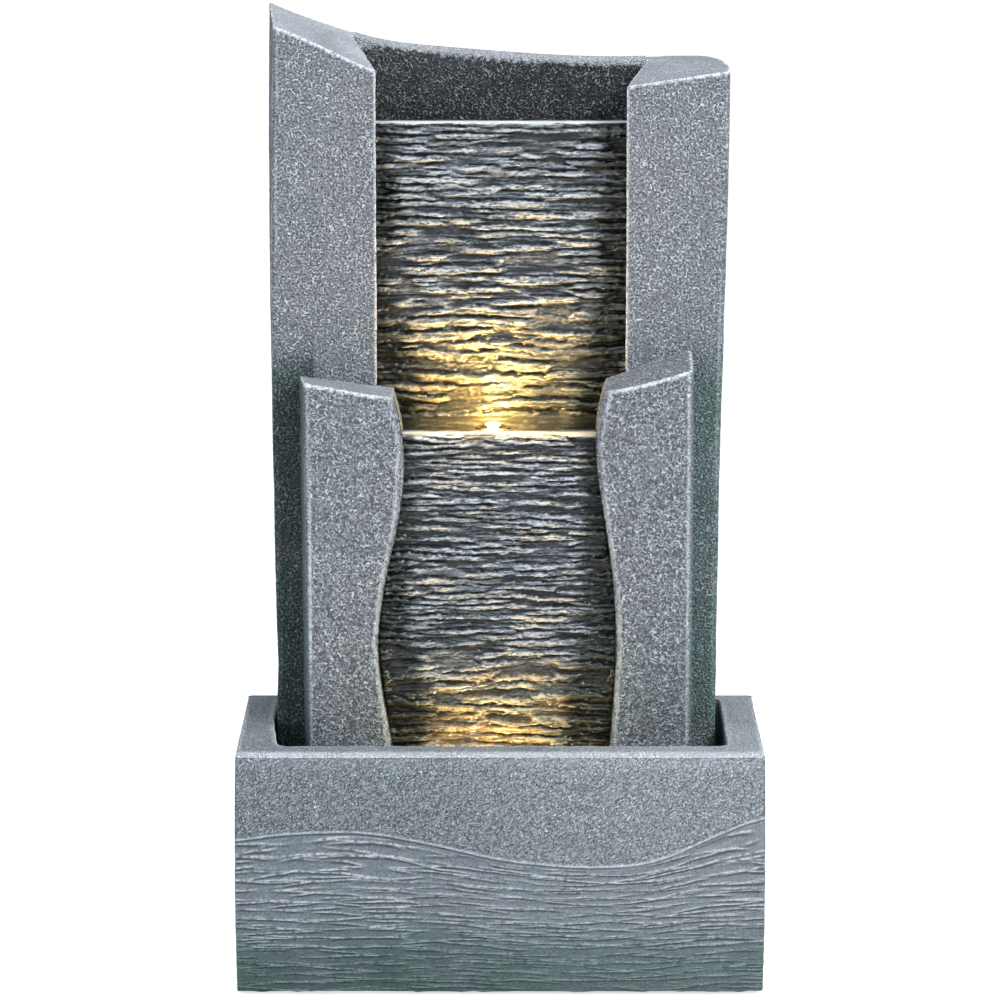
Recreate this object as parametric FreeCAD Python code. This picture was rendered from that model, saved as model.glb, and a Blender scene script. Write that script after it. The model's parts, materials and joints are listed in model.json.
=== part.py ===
import FreeCAD, Part
import math
import os

# Two-tier cascade garden fountain, cast in stone resin, with a pump and two lights.
# Millimetres. +Z is up, the front looks along -Y, +X is to the right seen from the front.
# The origin is on the ground, under the middle of the whole fountain's box.

# Basin
BASIN_WIDTH = 450.0
OPEN_WATER = 45.0  # strip of the basin ahead of the lower tier
RIM_HEIGHT = 209.0  # ground to the top of the rim
FRONT_BULGE = 22.0  # how far the bowed front stands out past the rim
FRONT_FOOT = 4.0  # how far its bottom edge stands out past the rim
BULGE_SHARE = 0.5  # height of the fullest point, as a share of the rim's height
RIM_FRONT = 42.0
RIM_LEFT = 29.5
RIM_LEFT_FRONT = 37.0
RIM_RIGHT = 32.0
REAR_WALL = 12.0
PAN_FLOOR = 22.0  # ground to the wetted floor
CAST_WALL = 6.0
RIM_CAP = 8.0
RELIEF_STEP = 2.0  # the carved lower zone lies this far behind the pebbled band
# The wavy line between the two, as (x, height) across the front
WAVE_LINE = [(-226, 137.5), (-185, 144), (-115, 146), (-55, 135), (5, 121)]
WAVE_LINE += [(75, 115), (130, 119), (180, 142), (226, 160)]
EDGE_ROUND = 4.0
EDGE_EASE = 3.0  # flat easing of the pillars' outer front edges
PAN_CORNER = 8.0

# Rubber feet under the basin
FOOT_RADIUS = 12.0
FOOT_THICKNESS = 3.0
GROUND_GAP = 1.5  # ground to the basin's bottom edge
FOOT_PAD = 36.0
FOOT_PAD_THICKNESS = 8.0

# Rear tower
TOWER_DEPTH = 91.0
TOWER_GAP_LEFT = 1.0  # to the basin's opening
TOWER_GAP_RIGHT = 5.3
SWELL_LEFT = 4.0  # sideways bow of the tower's left side
SWELL_RIGHT = 2.8
TOWER_TOP_IN = 5.0  # how far the bow draws in again at the very top
UPPER_HALF = 107.0  # middle to a pillar's inner front edge
SPLAY = 19.5  # the recess widens by this much from its mouth to its back
POCKET_WALL = 14.0
PILLAR_CAP = 9.0
REAR_SKIN = 7.0
HEADROOM = 140.0  # the blocks reach this far past the upper lip before their tops are cut

# Upper cascade
UPPER_LIP = 726.0
UPPER_SETBACK = 40.0
UPPER_SLAB = 13.0
POCKET_DEPTH = 78.0
SHELF = 8.0

# Lower tier
TIER_DEPTH = 48.0
TIER_OUTER_LEFT = 164.5
TIER_OUTER_RIGHT = 165.0
TIER_LEAN = 3.5  # the left pillar grows this much wider towards its top
LOWER_HALF = 93.0  # middle to a pillar's wavy inner edge, on average
LOWER_LIP = 467.0
LOWER_SETBACK = 20.0
LOWER_SLAB = 15.0
LOWER_SLAB_HALF = 112.0
TROUGH_DEPTH = 37.0
TROUGH_FLOOR = 8.0
JOINT_GAP = 0.3  # adhesive line between castings

# Strata on both cascades
LEDGE_PITCH = 8.6
LEDGE_DEPTH = 2.8
LIP_BAND = 14.0  # height of the smooth lip above the top ledge
LEDGE_WANDER = 0.24  # how far a ledge strays up or down, as a share of the pitch
LEDGE_SHALLOW = 0.45  # the shallowest ledge, as a share of the deepest
RETURN_ARCH_WIDTH = 36.0
RETURN_ARCH_HEIGHT = 24.0
RETURN_ARCH_SPACING = 60.0

# Rear access
DOOR_WIDTH = 112.0
DOOR_HEIGHT = 112.0
DOOR_THICKNESS = 3.0
DOOR_GAP = 0.6
DOOR_SINK = 1.5  # the door's outer face lies this far inside the back face
DOOR_BORDER = 12.0  # raised border around the door's plain field
DOOR_FIELD_DEPTH = 0.8
DOOR_RIB = 2.5
DOOR_RIB_SPACING = 30.0
FINGER_NOTCH = 22.0
FINGER_NOTCH_DEPTH = 6.0
DOOR_ABOVE_RIM = 81.0  # rim to the door's middle
FRAME_FLANGE = 2.5
FRAME_BORDER = 10.0
FRAME_COLLAR = 9.4
FRAME_DEPTH = 14.0
FRAME_LEDGE = 4.0
KNUCKLE_RADIUS = 3.0
KNUCKLE_LENGTH = 18.0
KNUCKLE_SPACING = 74.0
PIN_RADIUS = 1.2
PIN_GRIP = 3.0
RUNNING_GAP = 0.06
SCREW_RADIUS = 1.6
SCREW_HEAD = 3.2
SCREW_HEAD_HEIGHT = 1.3
SCREW_LENGTH = 6.5

# Cable outlet
GROMMET_BESIDE_DOOR = 42.0
GROMMET_ABOVE_RIM = 31.0
GROMMET_BORE = 3.6
GROMMET_SLEEVE = 6.5
GROMMET_FLANGE = 9.0
GROMMET_FLANGE_THICKNESS = 2.0
GROMMET_REACH = 3.0  # how far the sleeve stands into the tower

# Drain
DRAIN_INSET = 43.0  # from the opening's right side
DRAIN_BORE = 9.0
STOPPER_HEAD = 13.0
STOPPER_HEAD_THICKNESS = 3.0
STOPPER_GRIP = 14.0
STOPPER_GRIP_WIDTH = 16.0
STOPPER_GRIP_THICKNESS = 5.0

# Pump: its rotor turns about an axis along X
PUMP_SIDE = 46.0
PUMP_LENGTH = 50.0
PUMP_ROUND = 6.0
PUMP_GAP = 1.0  # to the basin's rear wall
VOLUTE_LENGTH = 16.0
VOLUTE_WALL = 2.0
CHAMBER_RADIUS = 17.0
WELL_RADIUS = 10.5
WELL_DEPTH = 36.0
EYE_RADIUS = 8.0
SHAFT_RADIUS = 1.5
MAGNET_RADIUS = 9.5
SLEEVE_RADIUS = 4.5
IMPELLER_RADIUS = 15.0
IMPELLER_PLATE = 1.5
VANES = 6
VANE_THICKNESS = 1.3
BUSH_RADIUS = 4.0
BUSH_LENGTH = 4.0
NOZZLE_RADIUS = 7.0
NOZZLE_BORE = 5.0
NOZZLE_LENGTH = 29.0
CUP_HEIGHT = 7.0
CUP_RADIUS = 7.0
COVER_LENGTH = 20.0
COVER_WALL = 1.6
COVER_SHOULDER = 4.0
COVER_FIT = 0.2
SLOT_WIDTH = 2.4
SLOT_COUNT = 5
SLOT_PITCH = 7.0
SLOT_LENGTH = 6.5
DIAL_RADIUS = 10.0
DIAL_THICKNESS = 2.5
DIAL_STUB = 2.0
DIAL_PORT = 2.6
DIAL_PORT_RING = 6.2

# Riser hose and the outlet in the top pocket
HOSE_RADIUS = 9.0
HOSE_WALL = 1.95
HOSE_OVERLAP = 16.0
CLAMP_WIDTH = 7.0
CLAMP_THICKNESS = 1.4
OUTLET_THREAD = 9.0
OUTLET_FLANGE = 11.5
OUTLET_FLANGE_THICKNESS = 4.0
WASHER_THICKNESS = 2.0
WASHER_RADIUS = 11.0
NUT_ACROSS_FLATS = 21.0
NUT_THICKNESS = 7.0
OUTLET_STAND = 14.0  # how far the outlet stands above the pocket's floor
OUTLET_TAIL = 22.0

# Lights
LIGHT_X = -6.0
LIGHT_RADIUS = 15.0
LIGHT_HEIGHT = 38.0  # floor to the top of the lens
LIGHT_WALL = 2.5
LIGHT_FOOT = 6.0
LENS_THICKNESS = 4.0
LENS_CROWN = 2.0
SEAL_THICKNESS = 1.2
BOARD_THICKNESS = 1.6
CHIPS = 6
CHIP_SIZE = 3.0
CHIP_HEIGHT = 1.2
CHIP_RING = 6.5
LIGHT_REACH = 20.0  # the upper light stands this far behind the lower slab

# Levels and planes that follow from the sizes above
BASIN_DEPTH = TOWER_DEPTH + TIER_DEPTH + OPEN_WATER + RIM_FRONT  # back face to the rim's front edge
BACK = (BASIN_DEPTH + FRONT_BULGE) / 2
RIM_EDGE = BACK - BASIN_DEPTH
PAN_BACK = BACK - REAR_WALL
PAN_FRONT = RIM_EDGE + RIM_FRONT
PAN_LEFT = -BASIN_WIDTH / 2 + RIM_LEFT
PAN_LEFT_FRONT = -BASIN_WIDTH / 2 + RIM_LEFT_FRONT
PAN_RIGHT = BASIN_WIDTH / 2 - RIM_RIGHT
TOWER_LEFT = PAN_LEFT + TOWER_GAP_LEFT
TOWER_RIGHT = PAN_RIGHT - TOWER_GAP_RIGHT
TOWER_FRONT = BACK - TOWER_DEPTH
TIER_FRONT = TOWER_FRONT - TIER_DEPTH
UPPER_FACE = TOWER_FRONT + UPPER_SETBACK
UPPER_REAR = UPPER_FACE + UPPER_SLAB
POCKET_BACK = BACK - POCKET_WALL
LOWER_FACE = TIER_FRONT + LOWER_SETBACK
LOWER_REAR = LOWER_FACE + LOWER_SLAB
TROUGH_LEVEL = LOWER_LIP - TROUGH_DEPTH
POCKET_LEVEL = UPPER_LIP - POCKET_DEPTH
SHELF_UNDER = POCKET_LEVEL - SHELF
CHAMBER_BACK = BACK - REAR_SKIN
TALLEST = UPPER_LIP + HEADROOM
DRAIN_X = PAN_RIGHT - DRAIN_INSET
DRAIN_Y = (PAN_FRONT + TIER_FRONT) / 2
DOOR_MIDDLE = RIM_HEIGHT + DOOR_ABOVE_RIM
GROMMET_X = DOOR_WIDTH / 2 + GROMMET_BESIDE_DOOR
GROMMET_Z = RIM_HEIGHT + GROMMET_ABOVE_RIM

V = FreeCAD.Vector


def box(x0, x1, y0, y1, z0, z1):
    return Part.makeBox(x1 - x0, y1 - y0, z1 - z0, V(x0, y0, z0))


def rod(radius, start, end):
    """A round bar between two points."""
    run = V(*end) - V(*start)
    return Part.makeCylinder(radius, run.Length, V(*start), run)


def tube(outer, inner, start, end):
    return rod(outer, start, end).cut(rod(inner, start, end))


def plan_prism(points, low, high):
    """A plan outline of (x, y) corners, raised from low to high."""
    corners = [V(x, y, low) for x, y in points]
    face = Part.Face(Part.makePolygon(corners + corners[:1]))
    return face.extrude(V(0, 0, high - low))


def edges_at(shape, test):
    """The edges whose every vertex passes a test."""
    return [e for e in shape.Edges if all(test(v.Point) for v in e.Vertexes)]


def near(a, b):
    return abs(a - b) < 0.01


def smooth(points):
    """One smooth edge through a few points."""
    curve = Part.BSplineCurve()
    curve.interpolate(points)
    return curve.toShape()


def joined(shapes):
    first, rest = shapes[0], shapes[1:]
    return first.fuse(rest).removeSplitter() if rest else first


def save(shape, name):
    shape.exportStep("parts/" + name + ".step")


def swept_top(stations, front, rear, y_front, y_rear):
    """What lies above a top that sweeps across the front and climbs to the rear."""
    margin = 6.0
    share = margin / (y_rear - y_front)
    lines = []
    for y, sign in ((y_front - margin, -1), (y_rear + margin, 1)):
        heights = front if sign < 0 else rear
        drift = [sign * share * (b - a) for a, b in zip(front, rear)]
        lines.append(smooth([V(x, y, h + d) for x, h, d in zip(stations, heights, drift)]))
    return Part.makeRuledSurface(*lines).extrude(V(0, 0, 2 * HEADROOM))


# Basin


def bowed_block(inset, low, high, widen=0.0):
    """The basin's outer form, drawn in on every upright side by an inset."""
    foot = RIM_EDGE - FRONT_FOOT + inset
    full = RIM_EDGE - FRONT_BULGE + inset
    fullest = V(0, full, RIM_HEIGHT * BULGE_SHARE)
    arc = Part.Arc(V(0, foot, GROUND_GAP), fullest, V(0, RIM_EDGE + inset, RIM_HEIGHT))
    y_rear = BACK - inset
    lines = [
        Part.LineSegment(V(0, RIM_EDGE + inset, RIM_HEIGHT), V(0, y_rear, RIM_HEIGHT)),
        Part.LineSegment(V(0, y_rear, RIM_HEIGHT), V(0, y_rear, GROUND_GAP)),
        Part.LineSegment(V(0, y_rear, GROUND_GAP), V(0, foot, GROUND_GAP)),
    ]
    profile = Part.Wire([s.toShape() for s in [arc] + lines])
    half = BASIN_WIDTH / 2 - inset + widen
    profile.translate(V(-half, 0, 0))
    block = Part.Face(profile).extrude(V(2 * half, 0, 0))
    reach = box(-BASIN_WIDTH, BASIN_WIDTH, -BASIN_DEPTH, BASIN_DEPTH, low, high)
    return block.common(reach)


def pan_outline(grow):
    """The basin's opening in plan: its left side tapers in towards the front."""
    return [
        (PAN_LEFT_FRONT - grow, PAN_FRONT - grow),
        (PAN_RIGHT + grow, PAN_FRONT - grow),
        (PAN_RIGHT + grow, PAN_BACK + grow),
        (PAN_LEFT - grow, PAN_BACK + grow),
        (PAN_LEFT - grow, TOWER_FRONT),
    ]


def carved_zone():
    """All that lies ahead of the carved face, below the wavy line."""
    half = BASIN_WIDTH / 2 + 1
    ahead = RIM_EDGE - FRONT_BULGE - 5
    line = smooth([V(x, ahead, z) for x, z in WAVE_LINE])
    ends = line.Vertexes
    low_left = V(-half, ahead, 0)
    low_right = V(half, ahead, 0)
    sides = [
        Part.LineSegment(ends[1].Point, low_right).toShape(),
        Part.LineSegment(low_right, low_left).toShape(),
        Part.LineSegment(low_left, ends[0].Point).toShape(),
    ]
    region = Part.Face(Part.Wire([line] + sides)).extrude(V(0, PAN_FRONT - ahead, 0))
    behind = bowed_block(0, -1, RIM_HEIGHT, 5).translated(V(0, RELIEF_STEP, 0))
    lowest = box(-half, half, ahead, PAN_FRONT, -1, GROUND_GAP)
    return region.cut([behind, lowest])


def foot_places():
    reach_x = BASIN_WIDTH / 2 - CAST_WALL - FOOT_PAD / 2 + 2
    front = RIM_EDGE - FRONT_FOOT + CAST_WALL + FOOT_PAD / 2
    rear = BACK - CAST_WALL - FOOT_PAD / 2 + 2
    return [(x, y) for x in (-reach_x, reach_x) for y in (front, rear)]


def basin():
    block = bowed_block(0, GROUND_GAP, RIM_HEIGHT)
    corners = edges_at(block, lambda p: near(abs(p.x), BASIN_WIDTH / 2))
    corners = [e for e in corners if abs(e.Vertexes[0].Z - e.Vertexes[1].Z) > EDGE_ROUND]
    block = block.makeFillet(EDGE_ROUND, corners)
    pan = plan_prism(pan_outline(0), PAN_FLOOR, RIM_HEIGHT + 1)
    upright = edges_at(pan, lambda p: p.y < PAN_FRONT + 1)
    upright = [e for e in upright if near(e.Vertexes[0].X, e.Vertexes[1].X)]
    pan = pan.makeFillet(PAN_CORNER, upright)
    pan_shell = plan_prism(pan_outline(CAST_WALL), PAN_FLOOR - CAST_WALL, RIM_HEIGHT)
    hollow = bowed_block(CAST_WALL, -1, RIM_HEIGHT - RIM_CAP)
    under = box(-BASIN_WIDTH, BASIN_WIDTH, -BASIN_DEPTH, BASIN_DEPTH, GROUND_GAP - 1, GROUND_GAP + 1)
    hollow = joined([hollow, hollow.common(under).translated(V(0, 0, -1))]).cut(pan_shell)
    shape = block.cut(hollow)
    half = FOOT_PAD / 2
    top = GROUND_GAP + FOOT_PAD_THICKNESS
    pads = [box(x - half, x + half, y - half, y + half, GROUND_GAP, top) for x, y in foot_places()]
    shape = joined([shape] + [pad.common(block) for pad in pads])
    cuts = [pan, carved_zone()]
    for x, y in foot_places():
        cuts.append(rod(FOOT_RADIUS + 0.2, (x, y, 0), (x, y, FOOT_THICKNESS)))
    cuts.append(rod(DRAIN_BORE, (DRAIN_X, DRAIN_Y, 0), (DRAIN_X, DRAIN_Y, PAN_FLOOR + 1)))
    return shape.cut(cuts)


def base_feet():
    return Part.makeCompound([rod(FOOT_RADIUS, (x, y, 0), (x, y, FOOT_THICKNESS)) for x, y in foot_places()])


# Rear tower


def recess_half(y):
    """Half width of the tower's recess at a depth: it widens towards its back."""
    return UPPER_HALF + SPLAY * (y - TOWER_FRONT) / (POCKET_BACK - TOWER_FRONT)


def recess_prism(y0, y1, low, high, gap=0.0):
    near_half, far_half = recess_half(y0) - gap, recess_half(y1) - gap
    points = [(-near_half, y0), (near_half, y0), (far_half, y1), (-far_half, y1)]
    return plan_prism(points, low, high)


TOWER_STATIONS = [-205.0, -150.0, -105.0, -50.0, 0.0, 105.0, 150.0, 205.0]
TOWER_TOP_FRONT = [UPPER_LIP + h for h in (88.0, 67.0, 47.0, 39.0, 36.0, 34.0, 41.0, 49.0)]
TOWER_TOP_REAR = [UPPER_LIP + h for h in (103.0, 80.5, 66.5, 59.5, 55.5, 51.0, 52.0, 50.0)]


def tower_top(drop=0.0):
    cutter = swept_top(TOWER_STATIONS, TOWER_TOP_FRONT, TOWER_TOP_REAR, TOWER_FRONT, BACK)
    return cutter.translated(V(0, 0, -drop))


def tower_block():
    """Front outline with gently bowed sides, drawn back to the rear face."""
    waist = (RIM_HEIGHT + UPPER_LIP) / 2 + 40
    left = Part.Arc(
        V(TOWER_LEFT, TOWER_FRONT, RIM_HEIGHT),
        V(TOWER_LEFT - SWELL_LEFT, TOWER_FRONT, waist),
        V(TOWER_LEFT - SWELL_LEFT + TOWER_TOP_IN, TOWER_FRONT, TALLEST),
    )
    right = Part.Arc(
        V(TOWER_RIGHT, TOWER_FRONT, RIM_HEIGHT),
        V(TOWER_RIGHT + SWELL_RIGHT, TOWER_FRONT, waist),
        V(TOWER_RIGHT + SWELL_RIGHT + 1, TOWER_FRONT, TALLEST),
    )
    corners = [
        left.EndPoint,
        right.EndPoint,
        V(TOWER_RIGHT, TOWER_FRONT, RIM_HEIGHT),
        V(TOWER_RIGHT, TOWER_FRONT, PAN_FLOOR),
        V(TOWER_LEFT, TOWER_FRONT, PAN_FLOOR),
        V(TOWER_LEFT, TOWER_FRONT, RIM_HEIGHT),
    ]
    lines = [Part.LineSegment(a, b) for a, b in zip(corners, corners[1:]) if a != right.EndPoint]
    outline = Part.Wire(Part.__sortEdges__([s.toShape() for s in [left, right] + lines]))
    block = Part.Face(outline).extrude(V(0, TOWER_DEPTH, 0))
    front = edges_at(block, lambda p: near(p.y, TOWER_FRONT) and p.z < TALLEST + 1)
    front = [e for e in front if e.Vertexes[0].Z != e.Vertexes[1].Z]
    return block.makeChamfer(EDGE_EASE, front)


def tower_hollows(side, outer):
    """The castings are hollow: one tall cavity in a pillar, shallower behind the basin's rear wall."""
    front = TOWER_FRONT + CAST_WALL
    skin = outer - side * CAST_WALL
    shapes = []
    for low, high, rear in (
        (PAN_FLOOR - 1, RIM_HEIGHT + CAST_WALL, PAN_BACK - JOINT_GAP - CAST_WALL),
        (RIM_HEIGHT + CAST_WALL - 1, TALLEST, BACK - CAST_WALL),
    ):
        points = [
            (skin, front),
            (side * (recess_half(front) + CAST_WALL), front),
            (side * (recess_half(rear) + CAST_WALL), rear),
            (skin, rear),
        ]
        shapes.append(plan_prism(points, low, high).cut(tower_top(PILLAR_CAP)))
    return shapes


def tower_side(side, outer):
    """A pillar of the tower, with the splayed side of the recess as its inner face."""
    wide = recess_half(POCKET_BACK)
    x0, x1 = sorted((0, side * BASIN_WIDTH))
    half = box(x0, x1, TOWER_FRONT - 1, BACK + 1, 0, TALLEST + 1)
    cuts = [
        tower_top(),
        recess_prism(TOWER_FRONT - 1, POCKET_BACK, PAN_FLOOR - 1, TALLEST + 1),
        box(-wide, wide, POCKET_BACK, BACK + 1, PAN_FLOOR - 1, TALLEST + 1),
        box(-BASIN_WIDTH, BASIN_WIDTH, PAN_BACK - JOINT_GAP, BACK + 1, 0, RIM_HEIGHT),
    ]
    return tower_block().common(half).cut(cuts + tower_hollows(side, outer))


def tower_left():
    return tower_side(-1, TOWER_LEFT)


def tower_right():
    return tower_side(1, TOWER_RIGHT)


def screw_places():
    reach_x = DOOR_WIDTH / 2 + DOOR_GAP + FRAME_COLLAR + FRAME_BORDER / 2
    reach_z = DOOR_HEIGHT / 2 + DOOR_GAP + FRAME_COLLAR + FRAME_BORDER / 2
    return [(x, DOOR_MIDDLE + z) for x in (-reach_x, reach_x) for z in (-reach_z, reach_z)]


def frame_block(grow, y0, y1):
    """A slab of the door frame's outline, grown past the door's own size."""
    half_x = DOOR_WIDTH / 2 + DOOR_GAP + grow
    half_z = DOOR_HEIGHT / 2 + DOOR_GAP + grow
    return box(-half_x, half_x, y0, y1, DOOR_MIDDLE - half_z, DOOR_MIDDLE + half_z)


def tower_back():
    """The panel between the pillars, thinner below the pocket, with the rear opening and the cable hole."""
    half = recess_half(POCKET_BACK) - JOINT_GAP
    cuts = [
        tower_top(),
        box(-half - 1, half + 1, POCKET_BACK - 1, CHAMBER_BACK, RIM_HEIGHT - 1, SHELF_UNDER),
        frame_block(FRAME_COLLAR + FRAME_BORDER + JOINT_GAP, BACK - FRAME_FLANGE, BACK + 1),
        frame_block(FRAME_COLLAR + JOINT_GAP, TOWER_FRONT, BACK),
        rod(GROMMET_SLEEVE + 0.1, (GROMMET_X, POCKET_BACK, GROMMET_Z), (GROMMET_X, BACK, GROMMET_Z)),
        rod(
            GROMMET_FLANGE + JOINT_GAP,
            (GROMMET_X, BACK - GROMMET_FLANGE_THICKNESS, GROMMET_Z),
            (GROMMET_X, BACK + 1, GROMMET_Z),
        ),
    ]
    for x, z in screw_places():
        cuts.append(rod(SCREW_RADIUS + 0.05, (x, CHAMBER_BACK - 1, z), (x, BACK, z)))
    return box(-half, half, POCKET_BACK, BACK, RIM_HEIGHT, TALLEST).cut(cuts)


OUTLET_Y = (UPPER_REAR + POCKET_BACK) / 2


def pocket_floor():
    """The shelf under the top pocket, bonded in behind the upper slab, with the outlet's hole."""
    shelf = recess_prism(UPPER_REAR, POCKET_BACK, SHELF_UNDER, POCKET_LEVEL, JOINT_GAP)
    bore = OUTLET_THREAD + JOINT_GAP
    return shelf.cut(rod(bore, (0, OUTLET_Y, SHELF_UNDER - 1), (0, OUTLET_Y, POCKET_LEVEL + 1)))


# Lower tier

TIER_STATIONS = [-185.0, -130.0, -88.0, 86.0, 120.0, 145.0, 185.0]
TIER_TOP_FRONT = [LOWER_LIP + h for h in (50.0, 39.5, 33.5, 38.0, 44.5, 51.5, 64.0)]
TIER_TOP_REAR = [LOWER_LIP + h for h in (48.0, 39.0, 34.5, 41.5, 53.0, 61.5, 72.0)]
# Height, and how far the wavy edge stands outside the average half width
WAVE_LEFT = [(535, 7), (501, -2.3), (460, -10.5), (397, -7.1), (333, 6.3), (268, 11.2), (198, 0.4), (110, -5)]
WAVE_RIGHT = [(537, 6), (507, -3.6), (463, -11.3), (413, -6.6), (343, 3.4), (285, 6.6), (198, 1.7), (110, -4)]


def tier_pillar(side, outer, lean, wave):
    """One lower pillar: a straight outer side and a wavy inner one."""
    top = LOWER_LIP + 100
    foot = PAN_FLOOR
    edge = [V(side * (LOWER_HALF + reach), TIER_FRONT, height) for height, reach in wave]
    edge = [V(edge[0].x, TIER_FRONT, top)] + edge + [V(side * (LOWER_HALF - 2), TIER_FRONT, foot)]
    outer_foot = V(side * outer, TIER_FRONT, foot)
    outer_top = V(side * (outer + lean), TIER_FRONT, top)
    corners = [edge[-1], outer_foot, outer_top, edge[0]]
    sides = [Part.LineSegment(a, b).toShape() for a, b in zip(corners, corners[1:])]
    outline = Part.Wire(Part.__sortEdges__([smooth(edge)] + sides))
    block = Part.Face(outline).extrude(V(0, TIER_DEPTH, 0))
    outer_edge = edges_at(block, lambda p: near(p.y, TIER_FRONT) and side * p.x >= outer - 0.01)
    block = block.makeChamfer(EDGE_EASE, outer_edge)
    x0, x1 = sorted((side * (LOWER_SLAB_HALF + JOINT_GAP + CAST_WALL), side * (outer - CAST_WALL)))
    cavity = box(x0, x1, TIER_FRONT + CAST_WALL, TOWER_FRONT + 1, foot - 1, top)
    return block.cut(cavity.cut(tier_top(PILLAR_CAP)))


def tier_top(drop=0.0):
    cutter = swept_top(TIER_STATIONS, TIER_TOP_FRONT, TIER_TOP_REAR, TIER_FRONT, TOWER_FRONT)
    return cutter.translated(V(0, 0, -drop))


def lower_tier():
    left = tier_pillar(-1, TIER_OUTER_LEFT, TIER_LEAN, WAVE_LEFT)
    right = tier_pillar(1, TIER_OUTER_RIGHT, 0, WAVE_RIGHT)
    half = LOWER_SLAB_HALF + JOINT_GAP
    under = TROUGH_LEVEL - TROUGH_FLOOR
    slot_front, slot_rear = LOWER_FACE - JOINT_GAP, LOWER_REAR + JOINT_GAP
    slot = box(-half, half, slot_front, slot_rear, PAN_FLOOR - 1, LOWER_LIP + JOINT_GAP)
    chamber = box(-half, half, LOWER_REAR, TOWER_FRONT + 1, PAN_FLOOR - 1, under)
    pillars = [p.cut([tier_top(), slot, chamber]) for p in (left, right)]
    tray = box(-half, half, LOWER_REAR + JOINT_GAP, TOWER_FRONT, under, TROUGH_LEVEL)
    tray_rear = recess_prism(TOWER_FRONT, UPPER_REAR, under, TROUGH_LEVEL, JOINT_GAP)
    return joined(pillars + [tray, tray_rear])


# Cascade slabs


def strata_ring(x, face, rear, low, lip, phase):
    """Section of a cascade slab: ledges like worn slate under a smooth rounded lip."""
    count = int((lip - LIP_BAND - low) / LEDGE_PITCH)
    pitch = (lip - LIP_BAND - low) / count
    points = [(rear, low), (face, low)]
    for k in range(count):
        shift = LEDGE_WANDER * math.sin(1.7 * k + x / 31.0 + phase)
        swing = abs(math.sin(2.3 * k + x / 47.0 + phase))
        depth = LEDGE_DEPTH * (LEDGE_SHALLOW + (1 - LEDGE_SHALLOW) * swing)
        nose = low + pitch * (k + 0.35 + shift)
        points.append((face - depth, nose))
        points.append((face - 0.15 * depth, nose + 0.2 * pitch))
    points += [(face, lip - 12), (face - 2.0, lip - 9), (face - 2.6, lip - 5), (face - 1.4, lip - 1.2)]
    points += [(face + 1.6, lip), (rear, lip)]
    return [V(x, y, z) for y, z in points]


def level(a, b):
    """True if two points differ only from side to side."""
    return a.y == b.y and a.z == b.z


def cascade(half, face, rear, low, lip, phase):
    """Sections at a few stations across, joined by flat facets as split slate breaks."""
    stations = [-half, -0.55 * half, -0.1 * half, 0.4 * half, half]
    rings = [strata_ring(x, face, rear, low, lip, phase) for x in stations]
    facets = [Part.Face(Part.makePolygon(ring + ring[:1])) for ring in (rings[0], rings[-1])]
    for one, two in zip(rings, rings[1:]):
        for i, start in enumerate(one):
            j = (i + 1) % len(one)
            corners = [start, one[j], two[j], two[i]]
            if level(start, two[i]) and level(one[j], two[j]):
                facets.append(Part.Face(Part.makePolygon(corners + [start])))
            else:
                facets.append(Part.Face(Part.makePolygon([start, one[j], two[j], start])))
                facets.append(Part.Face(Part.makePolygon([start, two[j], two[i], start])))
    solid = Part.makeSolid(Part.makeShell(facets))
    if solid.Volume < 0:
        solid.reverse()
    return solid


def upper_cascade_slab():
    wide = recess_half(UPPER_REAR)
    slab = cascade(wide, UPPER_FACE, UPPER_REAR, TROUGH_LEVEL, UPPER_LIP, 0.6)
    return slab.common(recess_prism(UPPER_FACE - 6, UPPER_REAR, TROUGH_LEVEL, UPPER_LIP, JOINT_GAP))


def lower_cascade_slab():
    slab = cascade(LOWER_SLAB_HALF, LOWER_FACE, LOWER_REAR, PAN_FLOOR, LOWER_LIP, 2.1)
    seat = LOWER_SLAB_HALF + 1
    inner = LOWER_HALF - 14
    clear = [
        box(-seat, -inner, TIER_FRONT, LOWER_FACE, PAN_FLOOR - 1, LOWER_LIP + 1),
        box(inner, seat, TIER_FRONT, LOWER_FACE, PAN_FLOOR - 1, LOWER_LIP + 1),
    ]
    half, top, cut = RETURN_ARCH_WIDTH / 2, PAN_FLOOR + RETURN_ARCH_HEIGHT, RETURN_ARCH_HEIGHT / 3
    outline = [(-half, PAN_FLOOR - 1), (-half, top - cut), (cut - half, top)]
    outline += [(-x, z) for x, z in reversed(outline)]
    arches = []
    for middle in (-RETURN_ARCH_SPACING, 0.0, RETURN_ARCH_SPACING):
        corners = [V(middle + x, TIER_FRONT, z) for x, z in outline]
        opening = Part.Face(Part.makePolygon(corners + corners[:1]))
        arches.append(opening.extrude(V(0, LOWER_REAR + 1 - TIER_FRONT, 0)))
    return slab.cut(clear + arches)


# Rear access door

HINGE_X = DOOR_WIDTH / 2 + 2.0
HINGE_Y = BACK - DOOR_SINK - DOOR_THICKNESS / 2 - 0.5


def knuckle_spans():
    half = KNUCKLE_LENGTH / 2
    middles = (DOOR_MIDDLE - KNUCKLE_SPACING / 2, DOOR_MIDDLE + KNUCKLE_SPACING / 2)
    return [(m - half, m + half) for m in middles]


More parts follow.
